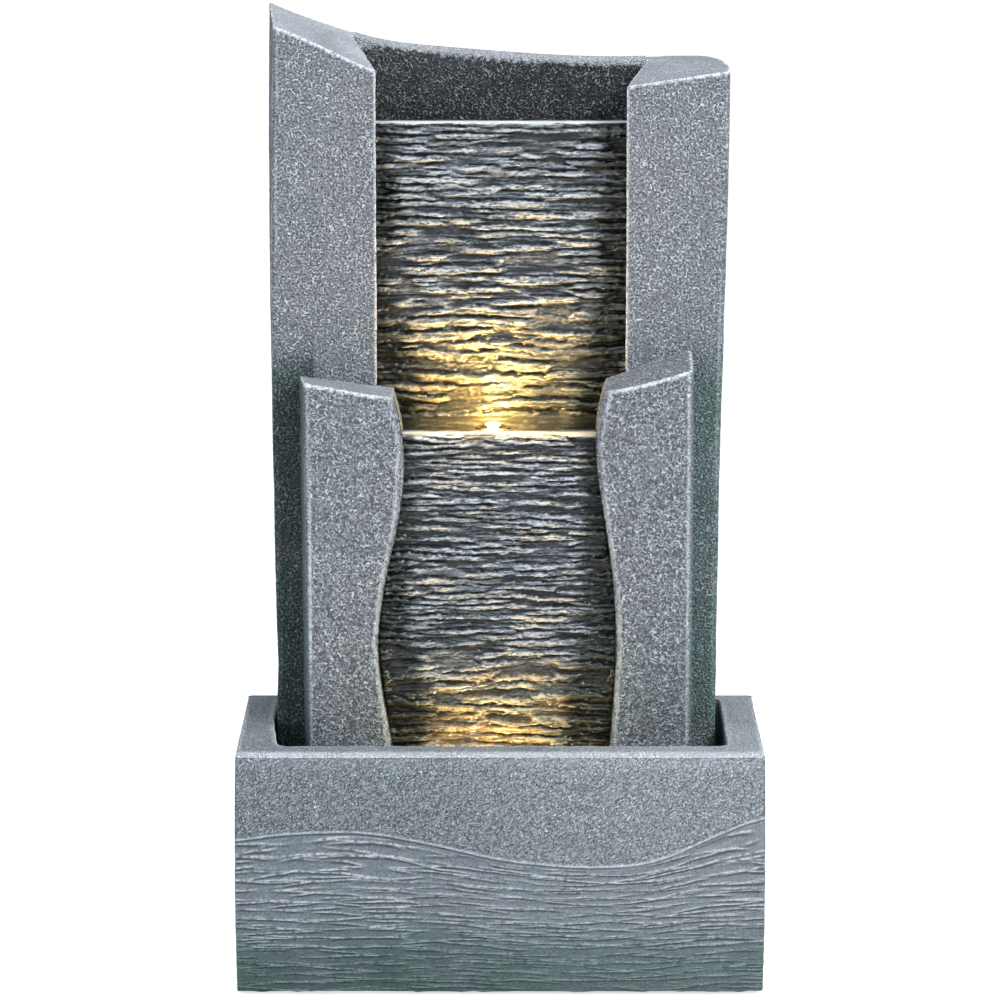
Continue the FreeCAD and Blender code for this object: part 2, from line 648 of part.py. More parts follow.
def access_door():
    outer = BACK - DOOR_SINK
    half_x, half_z = DOOR_WIDTH / 2, DOOR_HEIGHT / 2
    low, high = DOOR_MIDDLE - half_z, DOOR_MIDDLE + half_z
    plate = box(-half_x, half_x - 1.0, outer - DOOR_THICKNESS, outer, low, high)
    reach_x, reach_z = half_x - DOOR_BORDER, half_z - DOOR_BORDER
    field_y = outer - DOOR_FIELD_DEPTH
    field = box(-reach_x, reach_x, field_y, outer + 1, DOOR_MIDDLE - reach_z, DOOR_MIDDLE + reach_z)
    shapes = [plate.cut(field)]
    for low, high in knuckle_spans():
        shapes.append(rod(KNUCKLE_RADIUS, (HINGE_X, HINGE_Y, low), (HINGE_X, HINGE_Y, high)))
        shapes.append(box(half_x - 2, HINGE_X, outer - DOOR_THICKNESS, outer, low, high))
    rib_y = outer - DOOR_THICKNESS
    for z in (-DOOR_RIB_SPACING, 0.0, DOOR_RIB_SPACING):
        middle = DOOR_MIDDLE + z
        shapes.append(box(-reach_x, reach_x, rib_y - DOOR_RIB, rib_y, middle - 1, middle + 1))
    door = joined(shapes)
    bores = []
    for low, high in knuckle_spans():
        bores.append(rod(PIN_RADIUS + RUNNING_GAP, (HINGE_X, HINGE_Y, low - 1), (HINGE_X, HINGE_Y, high + 1)))
    return door.cut(bores)


def access_frame():
    ring = joined(
        [
            frame_block(FRAME_COLLAR + FRAME_BORDER, BACK - FRAME_FLANGE, BACK),
            frame_block(FRAME_COLLAR, BACK - FRAME_DEPTH, BACK),
        ]
    )
    stop = BACK - DOOR_SINK - DOOR_THICKNESS - 0.3
    cuts = [frame_block(0, stop, BACK + 1), frame_block(-FRAME_LEDGE, BACK - FRAME_DEPTH - 1, BACK)]
    swing = KNUCKLE_RADIUS + 0.6
    reach = DOOR_HEIGHT / 2 + DOOR_GAP
    relief_y = BACK - DOOR_SINK - 0.4
    low, high = DOOR_MIDDLE - reach, DOOR_MIDDLE + reach
    cuts.append(box(HINGE_X - 6, HINGE_X + swing, relief_y, BACK + 1, low, high))
    for low, high in knuckle_spans():
        cuts.append(box(HINGE_X - 6, HINGE_X + swing, HINGE_Y - swing, BACK + 1, low - 0.4, high + 0.4))
        pin = PIN_RADIUS + 0.02
        cuts.append(rod(pin, (HINGE_X, HINGE_Y, low - PIN_GRIP), (HINGE_X, HINGE_Y, high + PIN_GRIP)))
    left = -DOOR_WIDTH / 2 - DOOR_GAP
    low, high = DOOR_MIDDLE - FINGER_NOTCH / 2, DOOR_MIDDLE + FINGER_NOTCH / 2
    cuts.append(box(left - FINGER_NOTCH_DEPTH, left + 1, stop, BACK + 1, low, high))
    for x, z in screw_places():
        cuts.append(rod(SCREW_RADIUS + 0.1, (x, BACK - 10, z), (x, BACK + 1, z)))
        cuts.append(rod(SCREW_HEAD + 0.2, (x, BACK - SCREW_HEAD_HEIGHT, z), (x, BACK + 1, z)))
    return ring.cut(cuts)


def frame_screws():
    seat = BACK - SCREW_HEAD_HEIGHT
    screws = []
    for x, z in screw_places():
        shank = rod(SCREW_RADIUS, (x, seat - SCREW_LENGTH, z), (x, seat, z))
        head = rod(SCREW_HEAD, (x, seat, z), (x, BACK, z))
        screws.append(joined([shank, head]))
    return Part.makeCompound(screws)


def hinge_pins():
    pins = []
    for low, high in knuckle_spans():
        start = (HINGE_X, HINGE_Y, low - PIN_GRIP)
        pins.append(rod(PIN_RADIUS, start, (HINGE_X, HINGE_Y, high + PIN_GRIP)))
    return Part.makeCompound(pins)


def cable_grommet():
    at = lambda y: (GROMMET_X, y, GROMMET_Z)
    sleeve = rod(GROMMET_SLEEVE, at(CHAMBER_BACK - GROMMET_REACH), at(BACK - 1))
    flange = rod(GROMMET_FLANGE, at(BACK - GROMMET_FLANGE_THICKNESS), at(BACK))
    return joined([sleeve, flange]).cut(rod(GROMMET_BORE, at(TOWER_FRONT), at(BACK + 1)))


# Drain


def drain_stopper():
    at = lambda z: (DRAIN_X, DRAIN_Y, z)
    head = PAN_FLOOR + STOPPER_HEAD_THICKNESS
    plug = rod(DRAIN_BORE - RUNNING_GAP, at(PAN_FLOOR - CAST_WALL), at(PAN_FLOOR + 1))
    cap = rod(STOPPER_HEAD, at(PAN_FLOOR), at(head))
    wide, thick = STOPPER_GRIP_WIDTH / 2, STOPPER_GRIP_THICKNESS / 2
    x0, x1 = DRAIN_X - wide, DRAIN_X + wide
    grip = box(x0, x1, DRAIN_Y - thick, DRAIN_Y + thick, head - 1, head + STOPPER_GRIP)
    return joined([plug, cap, grip])


# Pump

PUMP_X = VOLUTE_LENGTH / 2  # face between the motor and the volute
PUMP_Y = PAN_BACK - PUMP_GAP - PUMP_SIDE / 2
PUMP_UNDER = PAN_FLOOR + CUP_HEIGHT
PUMP_Z = PUMP_UNDER + PUMP_SIDE / 2
VOLUTE_X = PUMP_X - VOLUTE_LENGTH
NOZZLE_TOP = PUMP_Z + PUMP_SIDE / 2 + NOZZLE_LENGTH


def on_axis(x):
    return (x, PUMP_Y, PUMP_Z)


def pump_block(x0, x1, side, radius):
    half = side / 2
    block = box(x0, x1, PUMP_Y - half, PUMP_Y + half, PUMP_Z - half, PUMP_Z + half)
    along = [e for e in block.Edges if not near(e.Vertexes[0].X, e.Vertexes[1].X)]
    return block.makeFillet(radius, along)


def cup_places():
    x0, x1 = PUMP_X + CUP_RADIUS, PUMP_X + PUMP_LENGTH - CUP_RADIUS
    reach = PUMP_SIDE / 2 - CUP_RADIUS
    return [(x, PUMP_Y + y) for x in (x0, x1) for y in (-reach, reach)]


def pump_housing():
    block = pump_block(PUMP_X, PUMP_X + PUMP_LENGTH, PUMP_SIDE, PUMP_ROUND)
    return block.cut(rod(WELL_RADIUS, on_axis(PUMP_X - 1), on_axis(PUMP_X + WELL_DEPTH)))


def pump_volute():
    shoulder = PUMP_SIDE - 2 * COVER_WALL - 2 * COVER_FIT
    body = pump_block(VOLUTE_X, PUMP_X, PUMP_SIDE, PUMP_ROUND)
    collar = pump_block(VOLUTE_X - COVER_SHOULDER, VOLUTE_X, shoulder, PUMP_ROUND - COVER_WALL)
    nozzle = rod(NOZZLE_RADIUS, (0, OUTLET_Y, PUMP_Z + CHAMBER_RADIUS), (0, OUTLET_Y, NOZZLE_TOP))
    face = VOLUTE_X + VOLUTE_WALL
    shape = joined([body, collar, nozzle]).cut(
        [
            rod(CHAMBER_RADIUS, on_axis(face), on_axis(PUMP_X + 1)),
            pump_block(VOLUTE_X - COVER_SHOULDER - 1, VOLUTE_X, 2 * CHAMBER_RADIUS, COVER_WALL),
            rod(EYE_RADIUS, on_axis(VOLUTE_X - 1), on_axis(face + 1)),
            rod(NOZZLE_BORE, (0, OUTLET_Y, PUMP_Z), (0, OUTLET_Y, NOZZLE_TOP + 1)),
        ]
    )
    hub = rod(BUSH_RADIUS + 1.4, on_axis(VOLUTE_X - 2), on_axis(face))
    arms = []
    for i in range(3):
        arm = box(VOLUTE_X, face, PUMP_Y - 0.8, PUMP_Y + 0.8, PUMP_Z + 2, PUMP_Z + EYE_RADIUS + 1)
        arm.rotate(V(*on_axis(0)), V(1, 0, 0), 120 * i)
        arms.append(arm)
    return joined([shape, hub] + arms).cut(rod(BUSH_RADIUS + 0.02, on_axis(VOLUTE_X - 3), on_axis(face + 1)))


FRONT_BUSH_X = VOLUTE_X + VOLUTE_WALL - BUSH_LENGTH
WELL_END = PUMP_X + WELL_DEPTH
SLEEVE_START = VOLUTE_X + VOLUTE_WALL + 0.5
SLEEVE_END = WELL_END - BUSH_LENGTH - 0.5


def shaft_bushes():
    bushes = []
    for x in (FRONT_BUSH_X, WELL_END - BUSH_LENGTH):
        radius = BUSH_RADIUS if x < PUMP_X else WELL_RADIUS - 0.02
        bushes.append(tube(radius, SHAFT_RADIUS + 0.02, on_axis(x), on_axis(x + BUSH_LENGTH)))
    return Part.makeCompound(bushes)


def rotor_shaft():
    return rod(SHAFT_RADIUS, on_axis(FRONT_BUSH_X), on_axis(WELL_END))


def impeller():
    plate_x = PUMP_X - 0.5 - IMPELLER_PLATE
    sleeve = rod(SLEEVE_RADIUS, on_axis(SLEEVE_START), on_axis(SLEEVE_END))
    plate = rod(IMPELLER_RADIUS, on_axis(plate_x), on_axis(plate_x + IMPELLER_PLATE))
    vanes = []
    half = VANE_THICKNESS / 2
    tip = PUMP_Z + IMPELLER_RADIUS - 0.5
    for i in range(VANES):
        vane = box(SLEEVE_START + 1, plate_x + 0.5, PUMP_Y - half, PUMP_Y + half, PUMP_Z + 3, tip)
        vane.rotate(V(*on_axis(0)), V(1, 0, 0), 360.0 * i / VANES)
        vanes.append(vane)
    wheel = joined([sleeve, plate] + vanes)
    return wheel.cut(rod(SHAFT_RADIUS + RUNNING_GAP, on_axis(SLEEVE_START - 1), on_axis(SLEEVE_END + 1)))


def rotor_magnet():
    return tube(MAGNET_RADIUS, SLEEVE_RADIUS + 0.02, on_axis(PUMP_X + 1), on_axis(SLEEVE_END - 1))


def pump_feet():
    cups = []
    for x, y in cup_places():
        cups.append(rod(CUP_RADIUS, (x, y, PAN_FLOOR), (x, y, PUMP_UNDER)))
    return Part.makeCompound(cups)


COVER_X = VOLUTE_X - COVER_LENGTH


def intake_cover():
    shell = pump_block(COVER_X, VOLUTE_X, PUMP_SIDE, PUMP_ROUND)
    inner = PUMP_SIDE - 2 * COVER_WALL
    shell = shell.cut(pump_block(COVER_X + COVER_WALL, VOLUTE_X + 1, inner, PUMP_ROUND - COVER_WALL))
    cuts = []
    for i in range(SLOT_COUNT):
        z = PUMP_Z + (i - (SLOT_COUNT - 1) / 2) * SLOT_PITCH
        low, high = z - SLOT_WIDTH / 2, z + SLOT_WIDTH / 2
        for side in (-1, 1):
            outer = PUMP_SIDE / 2 - 4
            y0, y1 = sorted((PUMP_Y + side * (outer - SLOT_LENGTH), PUMP_Y + side * outer))
            cuts.append(box(COVER_X - 1, COVER_X + COVER_WALL + 1, y0, y1, low, high))
            y0, y1 = sorted((PUMP_Y + side * (inner / 2 - 2), PUMP_Y + side * (PUMP_SIDE / 2 + 1)))
            cuts.append(box(COVER_X + 5, VOLUTE_X - 7, y0, y1, low, high))
    for side in (-1, 1):
        y = PUMP_Y + side * DIAL_PORT_RING
        cuts.append(rod(DIAL_PORT, (COVER_X - 1, y, PUMP_Z), (COVER_X + COVER_WALL + 1, y, PUMP_Z)))
    stub_end = COVER_X - DIAL_THICKNESS - 0.6
    stub = rod(DIAL_STUB, on_axis(stub_end), on_axis(COVER_X + 1))
    head = rod(DIAL_STUB + 1.2, on_axis(stub_end - 1.2), on_axis(stub_end))
    return joined([shell.cut(cuts), stub, head])


def intake_foam():
    side = PUMP_SIDE - 2 * COVER_WALL - 0.6
    start = COVER_X + COVER_WALL + 0.3
    return pump_block(start, VOLUTE_X - COVER_SHOULDER - 0.8, side, PUMP_ROUND - COVER_WALL)


def flow_dial():
    face = COVER_X - 0.3
    disc = rod(DIAL_RADIUS, on_axis(face - DIAL_THICKNESS), on_axis(face))
    tab_tip = PUMP_Z + DIAL_RADIUS - 0.5
    tab = box(face - DIAL_THICKNESS - 2.5, face - 1, PUMP_Y - 1, PUMP_Y + 1, PUMP_Z + 4.5, tab_tip)
    cuts = [rod(DIAL_STUB + RUNNING_GAP, on_axis(face - DIAL_THICKNESS - 1), on_axis(face + 1))]
    for side in (-1, 1):
        y = PUMP_Y + side * DIAL_PORT_RING
        cuts.append(rod(DIAL_PORT, (face - DIAL_THICKNESS - 1, y, PUMP_Z), (face + 1, y, PUMP_Z)))
    return joined([disc, tab]).cut(cuts)


# Water riser

TAIL_END = SHELF_UNDER - WASHER_THICKNESS - OUTLET_FLANGE_THICKNESS - OUTLET_TAIL
HOSE_START = NOZZLE_TOP - HOSE_OVERLAP
HOSE_END = TAIL_END + HOSE_OVERLAP


def riser_hose():
    """A straight length of clear hose, pushed over the pump's nozzle and the outlet's tail."""
    return tube(HOSE_RADIUS, HOSE_RADIUS - HOSE_WALL, (0, OUTLET_Y, HOSE_START), (0, OUTLET_Y, HOSE_END))


def hose_clamps():
    bands = []
    inner = HOSE_RADIUS + 0.1
    inset = (HOSE_OVERLAP - CLAMP_WIDTH) / 2
    for z in (HOSE_START + inset, HOSE_END - inset - CLAMP_WIDTH):
        band = tube(inner + CLAMP_THICKNESS, inner, (0, OUTLET_Y, z), (0, OUTLET_Y, z + CLAMP_WIDTH))
        lug = box(inner + 0.2, inner + 6, OUTLET_Y - 2.5, OUTLET_Y + 2.5, z + 1, z + CLAMP_WIDTH - 1)
        bands.append(joined([band, lug]))
    return Part.makeCompound(bands)


def outlet_fitting():
    at = lambda z: (0, OUTLET_Y, z)
    flange_top = SHELF_UNDER - WASHER_THICKNESS
    tail = rod(NOZZLE_RADIUS, at(TAIL_END), at(flange_top))
    flange = rod(OUTLET_FLANGE, at(flange_top - OUTLET_FLANGE_THICKNESS), at(flange_top))
    thread = rod(OUTLET_THREAD, at(flange_top - 1), at(POCKET_LEVEL + OUTLET_STAND))
    return joined([tail, flange, thread]).cut(rod(NOZZLE_BORE, at(TAIL_END - 1), at(UPPER_LIP)))


def outlet_washer():
    under = SHELF_UNDER - WASHER_THICKNESS
    return tube(WASHER_RADIUS, OUTLET_THREAD + 0.1, (0, OUTLET_Y, under), (0, OUTLET_Y, SHELF_UNDER))


def outlet_nut():
    corner = NUT_ACROSS_FLATS / 2 / math.cos(math.pi / 6)
    turns = [math.pi / 3 * i for i in range(6)]
    points = [(corner * math.cos(a), OUTLET_Y + corner * math.sin(a)) for a in turns]
    blank = plan_prism(points, POCKET_LEVEL, POCKET_LEVEL + NUT_THICKNESS)
    return blank.cut(rod(OUTLET_THREAD + 0.05, (0, OUTLET_Y, POCKET_LEVEL - 1), (0, OUTLET_Y, UPPER_LIP)))


# Lights


def light_parts(x, y, floor):
    """One sealed light: foot, housing, board with its chips, seal and lens."""
    at = lambda z: (x, y, z)
    top = floor + LIGHT_HEIGHT
    under = floor + LIGHT_FOOT
    rim = top - LENS_CROWN
    seat = rim - LENS_THICKNESS + LENS_CROWN
    bore = LIGHT_RADIUS - LIGHT_WALL
    board_z = under + LIGHT_WALL + 6
    foot = Part.makeCone(LIGHT_RADIUS - 1, LIGHT_RADIUS - 6, LIGHT_FOOT, V(*at(floor)))
    housing = rod(LIGHT_RADIUS, at(under), at(rim)).cut(
        [
            rod(bore - 4, at(under + LIGHT_WALL), at(board_z + 1)),
            rod(bore - 2, at(board_z), at(rim + 1)),
            rod(bore, at(seat - SEAL_THICKNESS), at(rim + 1)),
        ]
    )
    seal = tube(bore - 0.1, bore - 2, at(seat - SEAL_THICKNESS), at(seat))
    crown = Part.makeCone(bore - 0.1, bore - 4, LENS_CROWN, V(*at(rim)))
    lens = joined([rod(bore - 0.1, at(seat), at(rim)), crown])
    board = rod(bore - 2.1, at(board_z), at(board_z + BOARD_THICKNESS))
    chips = []
    for i in range(CHIPS):
        turn = 2 * math.pi * i / CHIPS
        cx, cy = x + CHIP_RING * math.cos(turn), y + CHIP_RING * math.sin(turn)
        half, low = CHIP_SIZE / 2, board_z + BOARD_THICKNESS
        chips.append(box(cx - half, cx + half, cy - half, cy + half, low - 0.2, low + CHIP_HEIGHT))
    return {
        "foot": foot,
        "housing": housing,
        "board": joined([board] + chips),
        "seal": seal,
        "lens": lens,
    }


LIGHT_PLACES = [(LIGHT_X, LOWER_REAR + LIGHT_REACH, TROUGH_LEVEL), (LIGHT_X, DRAIN_Y, PAN_FLOOR)]


def light_set(piece):
    """The same piece of both lights, as two solids."""
    return Part.makeCompound([light_parts(*place)[piece] for place in LIGHT_PLACES])


os.makedirs("parts", exist_ok=True)
for kind in ("foot", "housing", "board", "seal", "lens"):
    save(light_set(kind), "light_" + kind)

NODES = [
    basin,
    base_feet,
    tower_left,
    tower_right,
    tower_back,
    pocket_floor,
    lower_tier,
    upper_cascade_slab,
    lower_cascade_slab,
    access_frame,
    access_door,
    hinge_pins,
    frame_screws,
    cable_grommet,
    drain_stopper,
    pump_housing,
    pump_volute,
    impeller,
    rotor_magnet,
    rotor_shaft,
    shaft_bushes,
    pump_feet,
    intake_cover,
    intake_foam,
    flow_dial,
    riser_hose,
    hose_clamps,
    outlet_fitting,
    outlet_washer,
    outlet_nut,
]
for make in NODES:
    save(make(), make.__name__)
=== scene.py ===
"""A two-tier cascade garden fountain in cast stone resin, with wet slate walls and warm lights."""

import json
import math
from types import SimpleNamespace

import bmesh
import bpy
import numpy as np
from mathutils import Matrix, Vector


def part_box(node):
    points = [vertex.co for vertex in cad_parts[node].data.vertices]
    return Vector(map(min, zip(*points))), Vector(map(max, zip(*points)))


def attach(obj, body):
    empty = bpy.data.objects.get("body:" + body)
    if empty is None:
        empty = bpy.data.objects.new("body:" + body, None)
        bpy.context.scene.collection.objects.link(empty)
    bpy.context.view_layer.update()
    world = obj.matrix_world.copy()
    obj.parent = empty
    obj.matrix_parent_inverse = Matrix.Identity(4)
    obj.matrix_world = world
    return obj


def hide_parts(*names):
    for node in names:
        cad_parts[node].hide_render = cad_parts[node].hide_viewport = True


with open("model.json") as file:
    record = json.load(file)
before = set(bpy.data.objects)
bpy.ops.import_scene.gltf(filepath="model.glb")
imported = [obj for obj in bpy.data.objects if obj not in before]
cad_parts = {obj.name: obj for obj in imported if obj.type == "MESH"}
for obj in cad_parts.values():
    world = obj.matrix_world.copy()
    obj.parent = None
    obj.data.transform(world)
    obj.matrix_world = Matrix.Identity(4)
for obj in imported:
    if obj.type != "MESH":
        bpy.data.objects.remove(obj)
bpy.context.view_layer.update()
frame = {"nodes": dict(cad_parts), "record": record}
nodes = frame["nodes"]
scene = bpy.context.scene
scene.view_settings.view_transform = "Standard"

# Planes of the castings, in metres
BACK = 0.124
POCKET_BACK = 0.110
TOWER_FRONT = 0.033
TIER_FRONT = -0.015
BASIN_FRONT = -0.090
RIM_TOP = 0.209
# Half the recess's width at the tower's front, and how much it widens on its way to the pocket's back
RECESS_HALF = 0.107
RECESS_SPLAY = 0.0195
# The lights: their common place across, and each one's place from front to back
LIGHT_X = -0.006
LIGHT_Y = (0.040, -0.0375)
# The line that parts the basin's pebbled band from its carved zone
WAVE_X = (-0.226, -0.185, -0.115, -0.055, 0.005, 0.075, 0.130, 0.180, 0.226)
WAVE_Z = (0.1375, 0.144, 0.146, 0.135, 0.121, 0.115, 0.119, 0.142, 0.160)
# Inner edges of the lower tier's pillars, as height against distance from the middle
EDGE_Z = (0.110, 0.198, 0.285, 0.333, 0.397, 0.460, 0.501, 0.535)
EDGE_LEFT = (0.088, 0.0934, 0.1042, 0.0993, 0.0859, 0.0825, 0.0907, 0.100)
EDGE_RIGHT = (0.089, 0.0947, 0.0996, 0.0974, 0.0880, 0.0817, 0.0885, 0.099)

# Sizes of the castings' voxels, and of the slates' steps across and up
TOWER_VOXEL = 0.0018
TIER_VOXEL = 0.0019
BASIN_VOXEL = 0.0032
STEP_ACROSS = 0.0013
STEP_UP = 0.0009
# Relief of the castings, and how far their skins are drawn in so that it stays inside the solids
UNEVEN = 0.0004
LUMPS = 0.0004
BASIN_LUMPS = 0.0009
RIDGES = 0.0011
GROOVE = 0.0010
BROW = 0.0003
DRAWN_IN = 0.0004
BASIN_DRAWN_IN = 0.0012
# How far the slates' beds stand out of the gaps, and how far the gaps lie behind the face's plane
BED_HEIGHT = 0.0088
GAP_DEPTH = 0.0038
LIP_RADIUS = 0.003
# Depths that the materials' bump stands for
GRAIN_BUMP = 0.0016
MARK_BUMP = 0.0004

# Colours of the cast stone, and tints that multiply them
HOLLOW = (0.040, 0.046, 0.055, 1)
BRUSHED = (0.64, 0.69, 0.76, 1)
WORN_EDGE = (0.80, 0.86, 0.93, 1)
# Pale for tops and for painted highlights
PALE_WEAR_AND_HIGHLIGHT = (0.78, 0.83, 0.90, 1)
WARM_TINT = (1.02, 1.0, 1.0, 1)
COOL_TINT = (0.975, 1.01, 1.0, 1)
GREEN_TINT = (0.50, 0.68, 0.60, 1)
# Tint of the darkening, which is mostly painted shade
SHADE_AND_DIRT_TINT = (0.05, 0.055, 0.058, 1)
# Colours of the slate, and its tints
GAP = (0.011, 0.014, 0.016, 1)
BED = (0.130, 0.155, 0.182, 1)
BRUSHED_BED = (0.36, 0.39, 0.43, 1)
CRACK = (0.010, 0.012, 0.013, 1)
GREY_CREST = (0.52, 0.58, 0.65, 1)
OCHRE_CREST = (0.70, 0.63, 0.50, 1)
# The lights' painted warm glow, as a brown and as a tint, and painted shade
BASIN_GLOW_BROWN = (0.23, 0.135, 0.050, 1)
GLOW_TINT = (1.0, 0.83, 0.48, 1)
SHADE_TINT = (0.06, 0.09, 0.07, 1)
# Colours of a light's lens, glow and body: over the lamp, and away from it
LAMP_GLOW = (1, 0.90, 0.66, 1)
LAMP_BODY = (0.9, 0.86, 0.74, 1)
DARK_GLOW = (0.012, 0.007, 0.002, 1)
DARK_BODY = (0.012, 0.008, 0.003, 1)


# Shader nodes


def feed(tree, socket, value):
    """Links a socket to another one, or sets its plain value."""
    if isinstance(value, bpy.types.NodeSocket):
        tree.links.new(value, socket)
    else:
        socket.default_value = value


def put(tree, kind, settings=None, **inputs):
    """Adds a node, with its settings and its inputs set or linked by name."""
    made = tree.nodes.new(kind)
    for key, value in (settings or {}).items():
        setattr(made, key, value)
    for key, value in inputs.items():
        feed(tree, made.inputs[key.replace("_", " ")], value)
    return made


def calc(tree, operation, *values, kind="ShaderNodeMath"):
    """One math node over numbers and sockets."""
    made = put(tree, kind, {"operation": operation})
    for socket, value in zip(made.inputs, values):
        feed(tree, socket, value)
    return made.outputs[0]


def times(tree, one, two):
    return calc(tree, "MULTIPLY", one, two)


def minus(tree, one, two):
    return calc(tree, "SUBTRACT", one, two)


def scaled(tree, value, factor, start):
    """A value times a factor, plus a start."""
    return calc(tree, "MULTIPLY_ADD", value, factor, start)


def ramp(tree, value, low, high):
    """A soft step from 0 at low to 1 at high; high may also be the lesser one."""
    soft = {"interpolation_type": "SMOOTHSTEP"}
    return put(tree, "ShaderNodeMapRange", soft, Value=value, From_Min=low, From_Max=high).outputs[0]


def blend(tree, share, one, two, mode="MIX"):
    """Two colours mixed by a share, through the colour sockets of a mix node."""
    made = put(tree, "ShaderNodeMix", {"data_type": "RGBA", "blend_type": mode})
    for index, value in ((0, share), (6, one), (7, two)):
        feed(tree, made.inputs[index], value)
    return made.outputs[2]


def tinted(tree, share, colour, tint):
    """A colour multiplied by a tint, as far as the share says."""
    return blend(tree, share, colour, tint, "MULTIPLY")


def noise(tree, place, scale, detail, output="Fac", **more):
    made = put(tree, "ShaderNodeTexNoise", Vector=place, Scale=scale, Detail=detail, **more)
    return made.outputs[output]


def own_place(tree):
    """The piece's own coordinates, in metres."""
    return put(tree, "ShaderNodeTexCoord").outputs["Object"]


def axes_of(tree, place):
    return put(tree, "ShaderNodeSeparateXYZ", Vector=place).outputs


def stretched(tree, place, across):
    """A place with its distance across multiplied."""
    return put(tree, "ShaderNodeMapping", Vector=place, Scale=(across, 1.0, 1.0)).outputs[0]


def stored(tree, name):
    """A value that the mesh carries at each point."""
    return put(tree, "ShaderNodeAttribute", {"attribute_name": name}).outputs["Fac"]


def shader_group(name, inputs, outputs):
    """An empty shader node group with named sockets."""
    tree = bpy.data.node_groups.new(name, "ShaderNodeTree")
    for label, kind, default in inputs:
        socket = tree.interface.new_socket(label, in_out="INPUT", socket_type="NodeSocket" + kind)
        socket.default_value = default
    for label, kind in outputs:
        tree.interface.new_socket(label, in_out="OUTPUT", socket_type="NodeSocket" + kind)
    return tree, tree.nodes.new("NodeGroupInput").outputs, tree.nodes.new("NodeGroupOutput").inputs


def use_group(tree, group, **inputs):
    """A copy of a group's node, placed in a material."""
    return put(tree, "ShaderNodeGroup", {"node_tree": group}, **inputs).outputs


def stipple_group():
    """Fine worm-like pebbling of a cast surface: its height, its raised lines and its pits."""
    sockets = [
        ("Grain", "Float", 220.0),
        ("Slant", "Float", 0.0),
        ("Stretch", "Float", 1.0),
        ("Cover", "Float", 0.0),
    ]
    results = [("Height", "Float"), ("Raised", "Float"), ("Pits", "Float")]
    tree, given, result = shader_group("Cast stipple", sockets, results)
    grain = given["Grain"]
    turned = put(
        tree,
        "ShaderNodeVectorRotate",
        {"rotation_type": "Y_AXIS"},
        Vector=own_place(tree),
        Angle=given["Slant"],
    ).outputs[0]
    stretch = put(tree, "ShaderNodeCombineXYZ", X=given["Stretch"], Y=1.0, Z=1.0).outputs[0]
    skin = calc(tree, "MULTIPLY", turned, stretch, kind="ShaderNodeVectorMath")
    worms = noise(tree, skin, grain, 1.0, Distortion=0.8)
    fine = noise(tree, skin, times(tree, grain, 1.7), 1.0)
    patch = noise(tree, skin, 60.0, 2.0)

    # A net of lines, bent so that its cells are uneven, and broken up in patches
    bend = (0.0045, 0.0045, 0.0045)
    swirl = noise(tree, skin, times(tree, grain, 0.6), 1.0, "Color")
    bent = calc(tree, "MULTIPLY_ADD", swirl, bend, skin, kind="ShaderNodeVectorMath")
    net = put(tree, "ShaderNodeTexVoronoi", {"feature": "DISTANCE_TO_EDGE"}, Vector=bent, Scale=grain)
    lines = ramp(tree, net.outputs["Distance"], 0.155, 0.045)
    cover = calc(tree, "ADD", scaled(tree, patch, 0.25, fine), given["Cover"])
    raised = times(tree, lines, ramp(tree, cover, 0.56, 0.66))

    pits = ramp(tree, scaled(tree, worms, 0.5, fine), 0.655, 0.60)
    height = minus(tree, scaled(tree, raised, 0.8, fine), times(tree, pits, 0.6))
    for label, value in (("Height", height), ("Raised", raised), ("Pits", pits)):
        tree.links.new(value, result[label])
    return tree


def weather_group():
    """Colour of cast stone: washed hollows, dry-brushed lines and edges, a faint green bloom, and a
    darkening that is mostly painted shade.
    """
    sockets = [("Face", "Color", (0.18, 0.20, 0.23, 1))]
    sockets += [(label, "Float", 0.0) for label in ("Raised", "Pits", "Edge", "Green", "Dirt")]
    tree, given, result = shader_group("Weathered cast", sockets, [("Color", "Color")])
    place = own_place(tree)
    clouds = noise(tree, place, 9.0, 4.0, Roughness=0.6)
    warm = tinted(tree, 1.0, given["Face"], WARM_TINT)
    cool = tinted(tree, 1.0, given["Face"], COOL_TINT)
    base = blend(tree, ramp(tree, clouds, 0.38, 0.64), warm, cool)
    base = blend(tree, times(tree, given["Pits"], 0.62), base, HOLLOW)
    base = blend(tree, times(tree, given["Raised"], 0.80), base, BRUSHED)
    rub = ramp(tree, noise(tree, place, 260.0, 3.0), 0.28, 0.52)
    base = blend(tree, times(tree, given["Edge"], rub), base, WORN_EDGE)
    base = tinted(tree, times(tree, given["Green"], ramp(tree, clouds, 0.24, 0.49)), base, GREEN_TINT)
    # Darkening by the stored mask, mostly painted shade; raised lines keep more of their colour
    shade = times(tree, given["Dirt"], scaled(tree, given["Raised"], -0.30, 0.90))
    tree.links.new(tinted(tree, shade, base, SHADE_AND_DIRT_TINT), result["Color"])
    return tree


def speck_group():
    """Small uneven marks for moulded plastic, rubber and metal: a mask and a fine height."""
    results = [("Mask", "Float"), ("Height", "Float")]
    tree, given, result = shader_group("Handling marks", [("Scale", "Float", 60.0)], results)
    place = own_place(tree)
    broad = noise(tree, place, given["Scale"], 5.0, Roughness=0.65)
    tree.links.new(ramp(tree, broad, 0.35, 0.7), result["Mask"])
    tree.links.new(noise(tree, place, 900.0, 2.0), result["Height"])
    return tree


STIPPLE = stipple_group()
WEATHER = weather_group()
SPECKS = speck_group()


# Materials


def material(name, **values):
    """A named material with its shader's plain values set."""
    made = bpy.data.materials.new(name)
    made.use_nodes = True
    shader = made.node_tree.nodes["Principled BSDF"]
    for key, value in values.items():
        shader.inputs[key.replace("_", " ")].default_value = value
    return made, made.node_tree, shader


